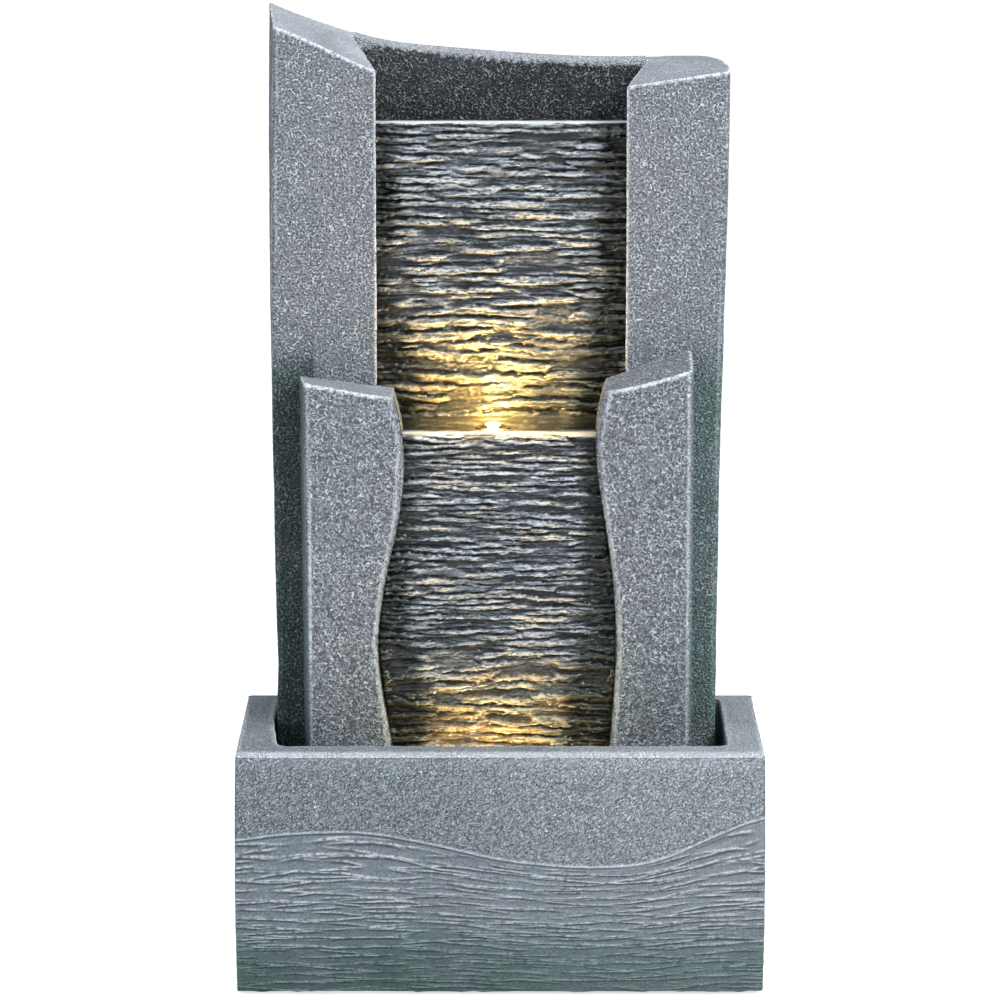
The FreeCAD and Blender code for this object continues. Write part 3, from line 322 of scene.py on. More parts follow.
def bump(tree, shader, height, strength, distance):
    made = put(tree, "ShaderNodeBump", Height=height, Strength=strength, Distance=distance)
    tree.links.new(made.outputs[0], shader.inputs["Normal"])


def ahead_of(tree, y):
    """1 on what lies ahead of a depth, 0 behind it."""
    return ramp(tree, axes_of(tree, own_place(tree))["Y"], y + 0.0006, y + 0.0002)


def recess_masks(tree):
    """Painted shade inside the recess, and a painted highlight along the back wall's swept top."""
    place = own_place(tree)
    way = axes_of(tree, place)

    # Height over the band's lower edge: a curve that rises to the left, and drops toward the left pillar
    slope = scaled(tree, way["X"], 0.36, -0.0775)
    height = minus(tree, way["Z"], scaled(tree, way["X"], slope, 0.7785))
    corner = calc(tree, "MAXIMUM", scaled(tree, way["X"], -1.0, -0.108), 0.0)
    height = scaled(tree, noise(tree, place, 190.0, 2.0), 0.011, scaled(tree, corner, 0.5, height))
    # A painted highlight in a ragged band along it
    pale = times(tree, ramp(tree, height, 0.0002, 0.0038), 0.5)
    pale = times(tree, pale, ahead_of(tree, BACK - 0.001))

    # Painted shade, deepest toward the recess's lower right
    lower = scaled(tree, way["Z"], -2.0, calc(tree, "ADD", way["X"], 1.5))
    recess_shade = scaled(tree, ramp(tree, lower, -0.14, 0.04), 0.16, 0.85)
    recess_shade = times(tree, ahead_of(tree, POCKET_BACK), recess_shade)
    return times(tree, recess_shade, scaled(tree, pale, -1.6, 1.0)), pale


def cast_stone(name, face, grain, relief, slant=0.0, stretch=1.0, cover=0.0, recessed=False):
    """Dry grey casting with a pebbled skin, smooth where the smooth mask says so."""
    made, tree, shader = material(name, Specular_IOR_Level=0.3)
    skin = use_group(tree, STIPPLE, Grain=grain, Slant=slant, Stretch=stretch, Cover=cover)
    if recessed:
        smooth = minus(tree, 1.0, ahead_of(tree, BACK - 0.001))
        dirt, pale = recess_masks(tree)
    else:
        smooth, dirt, pale = (stored(tree, mask) for mask in ("smooth", "dirt", "pale"))
    rough = minus(tree, 1.0, times(tree, smooth, 0.8))
    raised = times(tree, skin["Raised"], rough)
    colour = use_group(
        tree,
        WEATHER,
        Face=(*face, 1),
        Raised=raised,
        Pits=times(tree, skin["Pits"], rough),
        Edge=stored(tree, "edge"),
        Green=stored(tree, "green"),
        Dirt=dirt,
    )["Color"]
    # Pale stone where the pale mask says: paler tops, and painted highlights on the basin and the back
    # wall
    tree.links.new(blend(tree, pale, colour, PALE_WEAR_AND_HIGHLIGHT), shader.inputs["Base Color"])
    tree.links.new(scaled(tree, raised, -0.12, 0.72), shader.inputs["Roughness"])
    bump(tree, shader, times(tree, skin["Height"], rough), relief, GRAIN_BUMP)
    return made


def slate():
    """Wet split slate: black gaps, brushed grey beds, pale worn crests, the lights' painted warm glow,
    painted shade and a glossy film of water.
    """
    film = {"Specular_IOR_Level": 0.5, "Coat_Weight": 0.35, "Coat_Roughness": 0.12}
    made, tree, shader = material("wet_slate", **film)
    place = own_place(tree)
    along = stretched(tree, place, 0.18)
    streak = noise(tree, along, 430.0, 1.0)
    rag = noise(tree, stretched(tree, place, 0.5), 600.0, 1.0)
    fine = scaled(tree, streak, 0.6, times(tree, rag, 0.4))
    patch = noise(tree, along, 66.0, 2.0)
    rise, crest, painted_glow = (stored(tree, mask) for mask in ("rise", "crest", "painted_glow"))

    # Beds, brushed in streaks and cracked
    body = blend(tree, rise, GAP, BED)
    brushed = times(tree, ramp(tree, fine, 0.50, 0.62), times(tree, rise, 0.6))
    body = blend(tree, brushed, body, BRUSHED_BED)
    cracks = times(tree, ramp(tree, fine, 0.465, 0.39), scaled(tree, painted_glow, -0.42, 0.6))
    body = blend(tree, cracks, body, CRACK)

    # Crests, worn grey or ochre, and a painted highlight along the lip
    pale = blend(tree, ramp(tree, patch, 0.51, 0.58), GREY_CREST, OCHRE_CREST)
    worn = calc(tree, "MAXIMUM", ramp(tree, fine, 0.40, 0.55), ramp(tree, crest, 0.86, 0.96))
    body = blend(tree, times(tree, crest, worn), body, pale)

    # The lights' painted warm glow near them, as a tint and, above the basin, as a brown, and painted
    # shade beside the pillars
    body = tinted(tree, times(tree, painted_glow, 0.95), body, GLOW_TINT)
    level = axes_of(tree, place)["Z"]
    basin_glow = times(tree, ramp(tree, level, 0.285, 0.215), ramp(tree, patch, 0.40, 0.56))
    body = blend(tree, times(tree, basin_glow, 0.42), body, BASIN_GLOW_BROWN)
    body = tinted(tree, stored(tree, "shade"), body, SHADE_TINT)

    tree.links.new(body, shader.inputs["Base Color"])
    tree.links.new(scaled(tree, streak, 0.3, 0.22), shader.inputs["Roughness"])
    bump(tree, shader, fine, 0.7, GRAIN_BUMP)
    return made


def lit_lens():
    """A domed lens over a small bright lamp, dark amber away from it."""
    values = {"Roughness": 0.3, "Emission_Strength": 14.0, "Specular_IOR_Level": 0.2}
    made, tree, shader = material("clear_lens", **values)
    way = axes_of(tree, own_place(tree))
    across = calc(tree, "ABSOLUTE", minus(tree, way["X"], LIGHT_X))
    back = [calc(tree, "ABSOLUTE", minus(tree, way["Y"], y)) for y in LIGHT_Y]
    back = times(tree, calc(tree, "MINIMUM", *back), 0.42)
    squares = [calc(tree, "POWER", length, 2.0) for length in (across, back)]
    away = calc(tree, "SQRT", calc(tree, "ADD", *squares))
    bright = ramp(tree, away, 0.0064, 0.0048)
    tree.links.new(blend(tree, bright, DARK_GLOW, LAMP_GLOW), shader.inputs["Emission Color"])
    tree.links.new(blend(tree, bright, DARK_BODY, LAMP_BODY), shader.inputs["Base Color"])
    return made


def moulded(name, colour, mark, roughness, scale=60.0, **values):
    """Plain piece material: its own colour with handling marks and a fine grain."""
    made, tree, shader = material(name, **values)
    skin = use_group(tree, SPECKS, Scale=scale)
    share = times(tree, skin["Mask"], 0.6)
    tree.links.new(blend(tree, share, (*colour, 1), (*mark, 1)), shader.inputs["Base Color"])
    tree.links.new(scaled(tree, skin["Mask"], 0.16, roughness), shader.inputs["Roughness"])
    bump(tree, shader, skin["Height"], 0.25, MARK_BUMP)
    return made


# Mesh work


def merged(node, fillers=()):
    """A CAD node's mesh with its split corners merged, and plain blocks that fill its closed cavities."""
    work = bmesh.new()
    work.from_mesh(nodes[node].data)
    bmesh.ops.remove_doubles(work, verts=work.verts, dist=2e-6)
    for corners in fillers:
        low = [work.verts.new((x, y, bottom)) for x, y, bottom, top in corners]
        high = [work.verts.new((x, y, top)) for x, y, bottom, top in corners]
        faces = [work.faces.new(low[::-1]), work.faces.new(high)]
        for i in range(4):
            j = (i + 1) % 4
            faces.append(work.faces.new((low[i], low[j], high[j], high[i])))
        bmesh.ops.recalc_face_normals(work, faces=faces)
    return work


def remeshed(work, size):
    """The work as one even skin of small quads."""
    mesh = bpy.data.meshes.new("work")
    work.to_mesh(mesh)
    work.free()
    holder = bpy.data.objects.new("work", mesh)
    scene.collection.objects.link(holder)
    skin = holder.modifiers.new("skin", "REMESH")
    skin.mode = "VOXEL"
    skin.voxel_size = size
    graph = bpy.context.evaluated_depsgraph_get()
    result = bpy.data.meshes.new_from_object(holder.evaluated_get(graph))
    bpy.data.objects.remove(holder)
    return result


def rows_of(items, name, width, kind):
    """One value of each of a mesh's items, as an array's rows."""
    values = np.zeros(len(items) * width, kind)
    items.foreach_get(name, values)
    return values.reshape(-1, width)


def points_of(mesh):
    return rows_of(mesh.vertices, "co", 3, np.float32).astype(float)


def normals_of(mesh):
    return rows_of(mesh.vertex_normals, "vector", 3, np.float32).astype(float)


def set_points(mesh, co):
    mesh.vertices.foreach_set("co", co.astype(np.float32).ravel())
    mesh.update()


def spread(values, ends, count, passes):
    """Averages a value over neighbouring points, in several passes."""
    weight = np.bincount(ends[:, 0], minlength=count) + np.bincount(ends[:, 1], minlength=count)
    for _ in range(passes):
        total = np.bincount(ends[:, 0], values[ends[:, 1]], count)
        total += np.bincount(ends[:, 1], values[ends[:, 0]], count)
        values = 0.5 * values + 0.5 * total / np.maximum(weight, 1)
    return values


def sharpness(mesh, co, no, passes):
    """How far each point stands out of its surroundings, in metres: most on convex corners."""
    ends = rows_of(mesh.edges, "vertices", 2, np.int32)
    eased = [spread(co[:, i], ends, len(co), passes) for i in range(3)]
    return ((co - np.stack(eased, 1)) * no).sum(1)


def smoothstep(value, low, high):
    """A soft step from 0 at low to 1 at high; high may also be the lesser one."""
    t = np.clip((value - low) / (high - low), 0, 1)
    return t * t * (3 - 2 * t)


def bell(value, middle, width):
    """1 at the middle, falling off softly to both sides."""
    return np.exp(-(((value - middle) / width) ** 2))


def slopes(cell):
    """A repeatable random direction for each whole-numbered corner, by mixing its numbers' bits."""
    key = (cell.astype(np.int64) * (73856093, 19349663, 83492791)).sum(-1) & 0xFFFFFFFF
    key = ((key ^ (key >> 13)) * 1274126177) & 0xFFFFFFFF
    key = ((key ^ (key >> 15)) * 2246822519) & 0xFFFFFFFF
    return np.stack([(key >> shift) & 1023 for shift in (0, 10, 20)], -1) / 511.5 - 1


def noise_at(co, scale, seed, stretch=(1, 1, 1)):
    """Smooth noise from about -1 to 1 at each point; scale is in lumps per metre."""
    place = co * np.array(stretch) * scale + seed
    cell = np.floor(place)
    part = place - cell
    fade = part * part * part * (part * (part * 6 - 15) + 10)
    total = np.zeros(len(co))
    for corner in np.ndindex(2, 2, 2):
        share = np.where(corner, fade, 1 - fade).prod(-1)
        total += share * (slopes(cell + corner) * (part - corner)).sum(-1)
    return np.clip(1.5 * total, -1, 1)


def flat_noise(x, z, seed, per_x, per_z):
    """Noise over an upright face, with its own number of lumps per metre each way."""
    return noise_at(np.stack([x, np.zeros_like(x), z], 1), 1.0, seed, (per_x, 1, per_z))


def chipped(co, edge, depth, scale):
    """How deep the edges are chipped at each point."""
    return edge * depth * np.clip(noise_at(co, scale, 5.5) + 0.1, 0, 1)


def store(mesh, name, values):
    """Stores a mask for the materials; points beyond its values get 0."""
    layer = mesh.attributes.new(name, "FLOAT", "POINT")
    values = np.pad(values, (0, len(mesh.vertices) - len(values)))
    layer.data.foreach_set("value", np.clip(values, 0, 1).astype(np.float32))


def shown(name, mesh, node, look):
    """A finished piece that stands for a CAD node."""
    piece = bpy.data.objects.new(name, mesh)
    scene.collection.objects.link(piece)
    mesh.materials.clear()
    mesh.materials.append(look)
    mesh.polygons.foreach_set("use_smooth", [True] * len(mesh.polygons))
    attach(piece, "fountain")
    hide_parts(node)


def pebbled(mesh, node, smooth, worn=1.0, spare=(0, 0, 0), **masks):
    """Works a cast skin: broad unevenness, lumps and chipped edges, held inside the node's box.

    Spare is the room beyond that box at the left, right and rear.
    """
    co, no = points_of(mesh), normals_of(mesh)
    y = co[:, 1]
    edge = smoothstep(sharpness(mesh, co, no, 2), 0.00009, 0.00020)
    move = UNEVEN * noise_at(co, 17.0, 3.1)
    move += LUMPS * (1 - smooth) * (0.4 * noise_at(co, 110.0, 7.7) + 0.6 * noise_at(co, 260.0, 1.3))
    move -= chipped(co, edge, 0.0006, 80.0)
    move = (move - DRAWN_IN) * smoothstep(y, BACK - 0.0004, BACK - 0.003)
    low, high = (list(corner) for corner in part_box(node))
    low[0] -= spare[0]
    high[0] += spare[1]
    high[1] += spare[2]
    set_points(mesh, np.clip(co + no * move[:, None], low, high))
    store(mesh, "edge", worn * edge * smoothstep(y, 0.120, 0.110))
    store(mesh, "smooth", smooth)
    for name, values in masks.items():
        store(mesh, name, values)


# Rear tower


def recess_half(y):
    return RECESS_HALF + RECESS_SPLAY * (y - TOWER_FRONT) / (POCKET_BACK - TOWER_FRONT)


def cavity_block(outer, side, tops, low, high, rear):
    """A block for part of a pillar's closed cavity, under a top with its own height at each corner."""
    wall = 0.003
    front = TOWER_FRONT + wall
    inner_front = side * (recess_half(front) + wall)
    inner_rear = side * (recess_half(rear) + wall)
    places = [(outer, front), (inner_front, front), (inner_rear, rear), (outer, rear)]
    return [(x, y, low, min(high, top)) for (x, y), top in zip(places, tops)]


def rounded_rear(x, y, side, edge_x, across, deep):
    """Rounds a pillar's outer rear corner: the corner's box is drawn in to a quarter ellipse."""
    u = np.clip((side * x - (side * edge_x - across)) / across, 0, None)
    v = np.clip((y - (BACK - deep)) / deep, 0, None)
    inside = (u > 0) & (v > 0)
    share = np.where(inside, np.maximum(u, v) / np.maximum(np.hypot(u, v), 1e-6), 1)
    x = np.where(inside, side * (side * edge_x - across + u * share * across), x)
    return x, np.where(inside, BACK - deep + v * share * deep, y)


def tower_pillar(node, side, cavity_x, edge_x, corner, tops):
    """One swept pillar: leaned and rounded as the casting is, then pebbled, stained and painted with
    shade.
    """
    # The cavity is shallower behind the basin, so two blocks fill it, one reaching into the other
    lower = cavity_block(cavity_x, side, tops, low=0.024, high=0.240, rear=0.108)
    upper = cavity_block(cavity_x, side, tops, low=0.218, high=1.0, rear=0.121)
    mesh = remeshed(merged(node, [lower, upper]), TOWER_VOXEL)
    co = points_of(mesh)
    x, y, z = co.T
    left = side < 0

    # The left pillar stands in a little at its front and leans out toward its rear and top,
    # the right one leans out toward its top
    behind = np.clip((y - TOWER_FRONT) / (BACK - TOWER_FRONT), 0, 1)
    x[:], y[:] = rounded_rear(x, y, side, edge_x, *corner)
    outward = smoothstep(np.abs(x), 0.120, 0.180)
    if left:
        x += 0.0022 * (1 - behind) * smoothstep(z, 0.215, 0.26)
        x -= 0.0052 * behind * outward * smoothstep(z, 0.24, 0.80)
    else:
        x += 0.0046 * outward * smoothstep(z, 0.40, 0.74)
    # The joint with the back panel is closed up
    x -= side * 0.0012 * (np.abs(x) < 0.13) * smoothstep(y, 0.105, 0.110)
    set_points(mesh, co)

    no = normals_of(mesh)
    top = smoothstep(no[:, 2], 0.55, 0.85) * smoothstep(z, 0.74, 0.76)
    rear = smoothstep(y, 0.112, 0.120)
    inner = smoothstep(-side * no[:, 0], 0.6, 0.9) * (np.abs(x) < 0.13)
    outside = smoothstep(side * no[:, 0], 0.5, 0.9)
    low = smoothstep(z + 0.02 * noise_at(co, 12.0, 2.0), 0.62, 0.48)
    # The strip of the front that stands beside the lower tier, painted dark on the left with the tier's
    # cast shadow
    beside = smoothstep(z + 0.4 * (np.abs(x) - 0.175), 0.552, 0.500) * smoothstep(-no[:, 1], 0.2, 0.6)
    beside = beside * (np.abs(x) > 0.160) * (y < 0.06)
    # Painted shade: the tier's cast shadow on the left strip, and the inner sides darker toward the back
    # of the recess
    dirt = beside * (0.80 if left else 0.0) + 0.45 * inner * smoothstep(y, 0.040, 0.060)
    green = 0.25 * low + 0.3 * outside + 0.75 * beside
    pale = top * (0.55 + 0.3 * noise_at(co, 30.0, 9.0)) * (0.55 if left else 0.27)
    smooth = np.maximum(top * 0.55, rear)
    pebbled(mesh, node, smooth, spare=(0.003, 0.005, 0), green=green, pale=pale, dirt=dirt)
    shown(node + "_cast", mesh, node, DRY_STONE)


# Lower tier


def inner_edge(x, z):
    """Distance from the middle to the lower pillars' wavy inner edges."""
    return np.where(x < 0, np.interp(z, EDGE_Z, EDGE_LEFT), np.interp(z, EDGE_Z, EDGE_RIGHT))


def tier():
    """The lower tier: eased along its wavy edges, wider to the left at its rear, then pebbled."""
    blocks = []
    for side in (-1, 1):
        inner, outer = side * 0.115, side * 0.1615
        corners = [(inner, -0.012), (outer, -0.012), (outer, 0.033), (inner, 0.033)]
        blocks.append([(x, y, 0.024, 0.492 if x == inner else 0.502) for x, y in corners])
    mesh = remeshed(merged("lower_tier", blocks), TIER_VOXEL)
    co, no = points_of(mesh), normals_of(mesh)
    x, y, z = co.T
    inside = np.abs(x) - inner_edge(x, z)
    y += 0.0035 * (y < TIER_FRONT + 0.004) * smoothstep(inside, 0.0045, 0.0)
    x -= 0.005 * (x < -0.15) * np.clip((y - TIER_FRONT) / (TOWER_FRONT - TIER_FRONT), 0, 1)
    # The rear is pushed back so that no slit shows between it and the tower
    y += 0.0012 * (y > TOWER_FRONT - 0.002)
    set_points(mesh, co)

    top = smoothstep(no[:, 2], 0.55, 0.85) * smoothstep(z, 0.47, 0.49)
    outside = smoothstep(np.abs(no[:, 0]), 0.5, 0.9) * (np.abs(x) > 0.15)
    wall = (inside < 0.003) * (y > TIER_FRONT + 0.004)
    foot = smoothstep(z, 0.36, 0.22)
    green = 0.25 * foot + 0.7 * outside + 0.3 * wall
    pale = top * (0.22 + 0.12 * noise_at(co, 30.0, 9.0)) * np.where(x < 0, 1.0, 0.15)
    # Painted shade on the outer sides and over the right half, most on its top
    dirt = 0.25 * outside + (0.05 + 0.12 * top) * (x > 0)
    smooth = np.maximum(0.25 * top, 0.5 * outside)
    worn = 1 - 0.5 * (inside < 0.010) * (z < 0.53)
    spare = (0.005, 0, 0.0008)
    pebbled(mesh, "lower_tier", smooth, worn, spare, green=green, pale=pale, dirt=dirt)
    shown("lower_tier_cast", mesh, "lower_tier", DRY_STONE)


# Basin


def refine_front(mesh):
    """Splits the bowed front's faces into finer ones, closer from ridge to ridge than along them."""
    work = bmesh.new()
    work.from_mesh(mesh)
    for upright, cuts in ((True, 3), (False, 1)):
        front = [f for f in work.faces if f.normal.y < -0.6 and f.calc_center_median().y < BASIN_FRONT]
        touched = {edge for face in front for edge in face.edges}
        chosen = []
        for edge in work.edges:
            run = edge.verts[1].co - edge.verts[0].co
            if edge in touched and (abs(run.z) > abs(run.x)) == upright:
                chosen.append(edge)
        bmesh.ops.subdivide_edges(work, edges=chosen, cuts=cuts, use_grid_fill=True)
    work.to_mesh(mesh)
    work.free()


def wave_line(x):
    """Height of the line under the pebbled band, rounded at its turns."""
    shifts = np.linspace(-0.022, 0.022, 9)
    return np.mean([np.interp(x + shift, WAVE_X, WAVE_Z) for shift in shifts], 0)


def carving(x, z):
    """Flowing ridges under the wavy line: the depth below it, their height, crest lines and furrows."""
    wave = wave_line(x)
    depth = wave - z
    # The ridges run along the line close under it, and level lower down
    follow = 0.95 * np.exp(-np.clip(depth, 0, 1) / 0.035) + 0.05
    level = z - (wave - 0.128) * follow
    crest, furrow, shoulder = np.zeros_like(x), np.zeros_like(x), np.zeros_like(x)
    pitch = 0.0080
    for seed, tilt in ((2.0, 0.07), (61.0, -0.06), (33.0, 0.02), (47.0, -0.02)):
        drift = tilt * x + 0.0040 * flat_noise(x, z, seed, 9, 16)
        drift += 0.0010 * flat_noise(x, z, seed + 6, 32, 50)
        drift += 0.0004 * flat_noise(x, z, seed + 7, 90, 160)
        phase = (level + drift) / pitch + 0.31 * seed
        row = np.floor(phase)
        off = (phase - row - 0.5) * pitch
        power = smoothstep(flat_noise(x, row, seed + 2, 26, 0.77), -0.24, 0.20)
        crest = np.maximum(crest, power * bell(off, 0.0, 0.0006))
        furrow = np.maximum(furrow, power * bell(off, -0.0013, 0.0009))
        shoulder = np.maximum(shoulder, power * bell(off, 0.0012, 0.0016))
    furrow = furrow * (1 - crest)
    return depth, 0.8 * crest + 0.4 * shoulder - 0.7 * furrow, crest, furrow


def basin():
    """The bowed basin: pebbled above its wavy line, carved below it, worn along its rim, and painted with
    light and shade.
    """
    mesh = remeshed(merged("basin"), BASIN_VOXEL)
    refine_front(mesh)
    co, no = points_of(mesh), normals_of(mesh)
    x, y, z = co.T

    # Zones of the casting
    front = smoothstep(-no[:, 1], 0.55, 0.8) * (y < BASIN_FRONT)
    rim = smoothstep(no[:, 2], 0.6, 0.9) * smoothstep(z, 0.204, 0.207)
    edge = smoothstep(sharpness(mesh, co, no, 5), 0.00015, 0.0007)
    depth, ridge, crest, furrow = carving(x, z)
    faded = (1 - 0.1 * smoothstep(z, 0.050, 0.012)) * (1 + 0.2 * smoothstep(x, -0.05, 0.15))
    carved = front * smoothstep(depth, 0.0010, 0.003) * faded
    groove = front * bell(depth, 0.0004, 0.0010)
    brow = front * bell(depth, -0.0018, 0.0010)
    band = front * smoothstep(-depth, 0.002, 0.006)
    band = band * (0.55 + 0.45 * smoothstep(RIM_TOP - z, 0.004, 0.016))
    inside = (no[:, 1] > -0.5) * smoothstep(z, 0.205, 0.195) * (np.abs(x) < 0.2) * (y < 0.120)
    foot = front * smoothstep(z + 0.012 * noise_at(co, 14.0, 6.0), 0.082, 0.026)

    # Relief: the band's lumps lie slantwise, and the rear stays flat
    slant = np.stack([x - 0.8 * z, y, z + 0.8 * x], 1)
    lumps = 0.4 * noise_at(co, 120.0, 7.7) + 0.9 * noise_at(slant, 1.0, 1.3, (300, 200, 130))
    move = UNEVEN * noise_at(co, 17.0, 3.1) - BASIN_DRAWN_IN
    move += BASIN_LUMPS * band * lumps
    move += RIDGES * carved * ridge - GROOVE * groove + BROW * brow
    move -= chipped(co, edge, 0.0007, 90.0)
    move *= smoothstep(y, BACK - 0.0005, BACK - 0.004)
    low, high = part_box("basin")
    set_points(mesh, np.clip(co + no * move[:, None], low, high))

    # Masks: worn edges and crests, smooth zones, green, a darkening that is mostly painted shade, and
    # painted light: rim and front paler toward the right, and a highlight along the rim's front edge
    broken = smoothstep(noise_at(co, 190.0, 44.0), -0.7, -0.1)
    worn = carved * crest * broken * (1.1 + 0.5 * noise_at(co, 40.0, 4.0))
    plain_edge = edge * (1 - front * (depth > 0)) * smoothstep(y, 0.120, 0.110)
    uncast = 1 - np.maximum(band, 0.5 * rim)
    across = smoothstep(x, -0.10, 0.14)
    # Painted light: the rim paler toward the right, where the key light falls, and a painted highlight
    # along its front edge
    rim_highlight = 0.09 + 0.24 * smoothstep(x, 0.0, 0.15) + 0.10 * noise_at(co, 24.0, 8.0)
    rim_highlight += (1.0 - rim_highlight) * smoothstep(y, -0.077, -0.089)
    # Painted light: the front paler toward the right, most on the pebbled band
    front_highlight = front * (0.09 * across + (0.10 + 0.09 * across) * (depth < 0))
    # Painted shade in the groove, inside the basin and in the carved zone and its furrows, and darker
    # toward the bottom
    dirty = [0.52 * foot, 0.90 * groove, 0.55 * inside, carved * (0.32 + 0.50 * furrow)]
    # Worn edges and crests, with a painted highlight along the brow over the groove
    store(mesh, "edge", np.maximum(plain_edge, np.maximum(worn, 0.50 * brow)))
    store(mesh, "smooth", np.maximum(uncast, front * smoothstep(depth, -0.001, 0.001)))
    store(mesh, "green", np.maximum(foot, 0.6 * inside))
    store(mesh, "dirt", np.maximum.reduce(dirty))
    store(mesh, "pale", np.maximum(rim * rim_highlight, front_highlight))
    shown("basin_cast", mesh, "basin", BASIN_STONE)


# Slate walls


def beds(x, z, seed, pitch):
    """One set of wandering split beds with broken ends: how far each point stands out, 0 to 1."""
    warp = 0.0055 * flat_noise(x, z, seed, 7, 22) + 0.0017 * flat_noise(x, z, seed + 9, 26, 70)
    warp += 0.0014 * flat_noise(x, z, seed + 5, 80, 260) + 0.0008 * flat_noise(x, z, seed + 6, 240, 460)
    phase = (z + warp) / pitch
    row = np.floor(phase)
    part = phase - row
    out = smoothstep(flat_noise(x, row, seed + 3, 17, 0.71), -0.26, 0.06)
    face = np.minimum(smoothstep(part, 0.0, 0.34), smoothstep(part, 1.0, 0.80))
    return (0.12 + 0.88 * out) * face * (0.78 + 0.22 * part)


def slate_relief(wall, x, z):
    """The split face, 0 in the gaps to 1: two sets of beds that break into each other, and thin leaves.

    Also where the face is split at all, which it isn't at the lip and the foot.
    """
    seed, pitch = wall.seed, wall.pitch
    level = z + 0.32 * np.clip(wall.calm_height + wall.calm_fade - z, 0, 1)
    pick = smoothstep(flat_noise(x, level, seed + 31, 16, 48), -0.04, 0.04)
    bulk = beds(x, level, seed, pitch) * (1 - pick) + beds(x, level, seed + 70, 0.75 * pitch) * pick
    leaves = beds(x, level, seed + 140, 0.40 * pitch)
    rough = flat_noise(x, z, seed + 7, 220, 480)
    height = np.clip(0.68 * bulk + 0.25 * leaves + 0.07 * rough, 0, 1)
    split = smoothstep(wall.lip - z, 0.0012, 0.003) * smoothstep(z, wall.foot, wall.foot + 0.003)
    return height * split + 0.45 * (1 - split), split


def slate_masks(wall, x, z, grid, split):
    """Where the beds are brushed grey, worn pale, painted with the lights' warm glow and a highlight
    along the lip, and painted dark with shade beside the pillars.
    """
    seed, rounding = wall.seed, wall.rounding
    fade_end = wall.calm_height + 0.3 * wall.calm_fade
    painted_glow = smoothstep(z, wall.calm_height + 1.3 * wall.calm_fade, fade_end)
    around = np.stack([np.roll(grid, k, 0) for k in range(-6, 7)]).mean(0)
    stand = (grid - around).ravel() + 0.45 * (grid.ravel() - 0.36)
    brush = 0.10 * flat_noise(x, z, seed + 11, 22, 60) + 0.06 * flat_noise(x, z, seed + 12, 120, 420)
    brush += 0.13 * flat_noise(x, z, seed + 13, 11, 34) - 0.03
    # Painted glow of the lights: it lifts the beds and crests near them
    broad = painted_glow * (0.4 + 2.4 * wall.golden)
    rise = smoothstep(stand + brush + 0.10 * broad, -0.34, 0.20) * split + 0.45 * (1 - split)
    # A painted highlight along the lip; on the lower wall the lights' glow is painted on it too
    under_lip = wall.lip - z + 0.4 * rounding * flat_noise(x, z, seed + 15, 70, 90)
    lip_highlight = smoothstep(under_lip, rounding, 0.6 * rounding)
    crest = 0.85 * split * smoothstep(stand + 1.6 * brush + 0.08 * broad, 0.12, 0.46)
    side = wall.shade_half - 0.028 - 0.006 * (x > 0) - 0.022 * painted_glow
    from_middle = np.abs(x) + 0.014 * flat_noise(x, z, seed + 8, 16, 130)
    shade = smoothstep(from_middle, side, side + 0.015 + 0.010 * painted_glow)
    return {
        "rise": rise,
        "crest": np.maximum(crest, lip_highlight),
        "shade": 0.95 * shade * (1 - 0.7 * lip_highlight),
        "painted_glow": np.maximum(painted_glow, wall.golden * lip_highlight * bell(x, LIGHT_X, 0.075)),
    }


def closed_block(name, xs, zs, y, rear):
    """A mesh with a worked face on an even grid, closed by straight sides and a flat back."""
    x, z = (grid.ravel() for grid in np.meshgrid(xs, zs))
    back = [(px, rear, pz) for pz in (zs[0], zs[-1]) for px in xs]
    sides = [(px, rear, pz) for px in (xs[0], xs[-1]) for pz in zs[1:-1]]
    points = np.vstack([np.stack([x, y, z], 1), back, sides])
    rows, columns = len(zs), len(xs)
    index = np.arange(rows * columns).reshape(rows, columns)
    low_back = rows * columns + np.arange(columns)
    high_back = low_back + columns
    left_side = high_back[-1] + 1 + np.arange(rows - 2)
    right_side = left_side + rows - 2
    left_back = np.concatenate([low_back[:1], left_side, high_back[:1]])
    right_back = np.concatenate([low_back[-1:], right_side, high_back[-1:]])
    strips = list(zip(index[:-1], index[1:]))
    strips += [
        (low_back, index[0]),
        (index[-1], high_back),
        (index[:, 0], left_back),
        (right_back, index[:, -1]),
    ]
    faces = []
    for one, two in strips:
        faces += np.stack([one[:-1], one[1:], two[1:], two[:-1]], 1).tolist()
    faces.append([*high_back, *right_back[-2:0:-1], *low_back[::-1], *left_back[1:-1]])
    mesh = bpy.data.meshes.new(name)
    mesh.from_pydata(points.tolist(), [], faces)
    mesh.validate()
    return mesh


def slate_wall(name, node, wall):
    """One water wall with its split face, rounded off at its lip."""
    xs = np.linspace(-wall.half, wall.half, int(2 * wall.half / STEP_ACROSS))
    zs = np.linspace(wall.low, wall.lip, int((wall.lip - wall.low) / STEP_UP))
    x, z = (grid.ravel() for grid in np.meshgrid(xs, zs))
    height, split = slate_relief(wall, x, z)
    y = wall.face + GAP_DEPTH - BED_HEIGHT * height * wall.reach(x, z)
    round_off = np.clip(1 - (wall.lip - z) / LIP_RADIUS, 0, 1)
    y += LIP_RADIUS * (1 - np.sqrt(1 - round_off**2))
    mesh = closed_block(name, xs, zs, y, wall.rear)
    masks = slate_masks(wall, x, z, height.reshape(len(zs), len(xs)), split)
    for mask, values in masks.items():
        store(mesh, mask, values)
    shown(name, mesh, node, WET_SLATE)


def between_pillars(x, z):
    """1 between the lower pillars' wavy edges, fading to 0 just before them."""
    return smoothstep(inner_edge(x, z) + 0.004 - np.abs(x), 0.0, 0.004)


def everywhere(x, z):
    return np.ones_like(x)


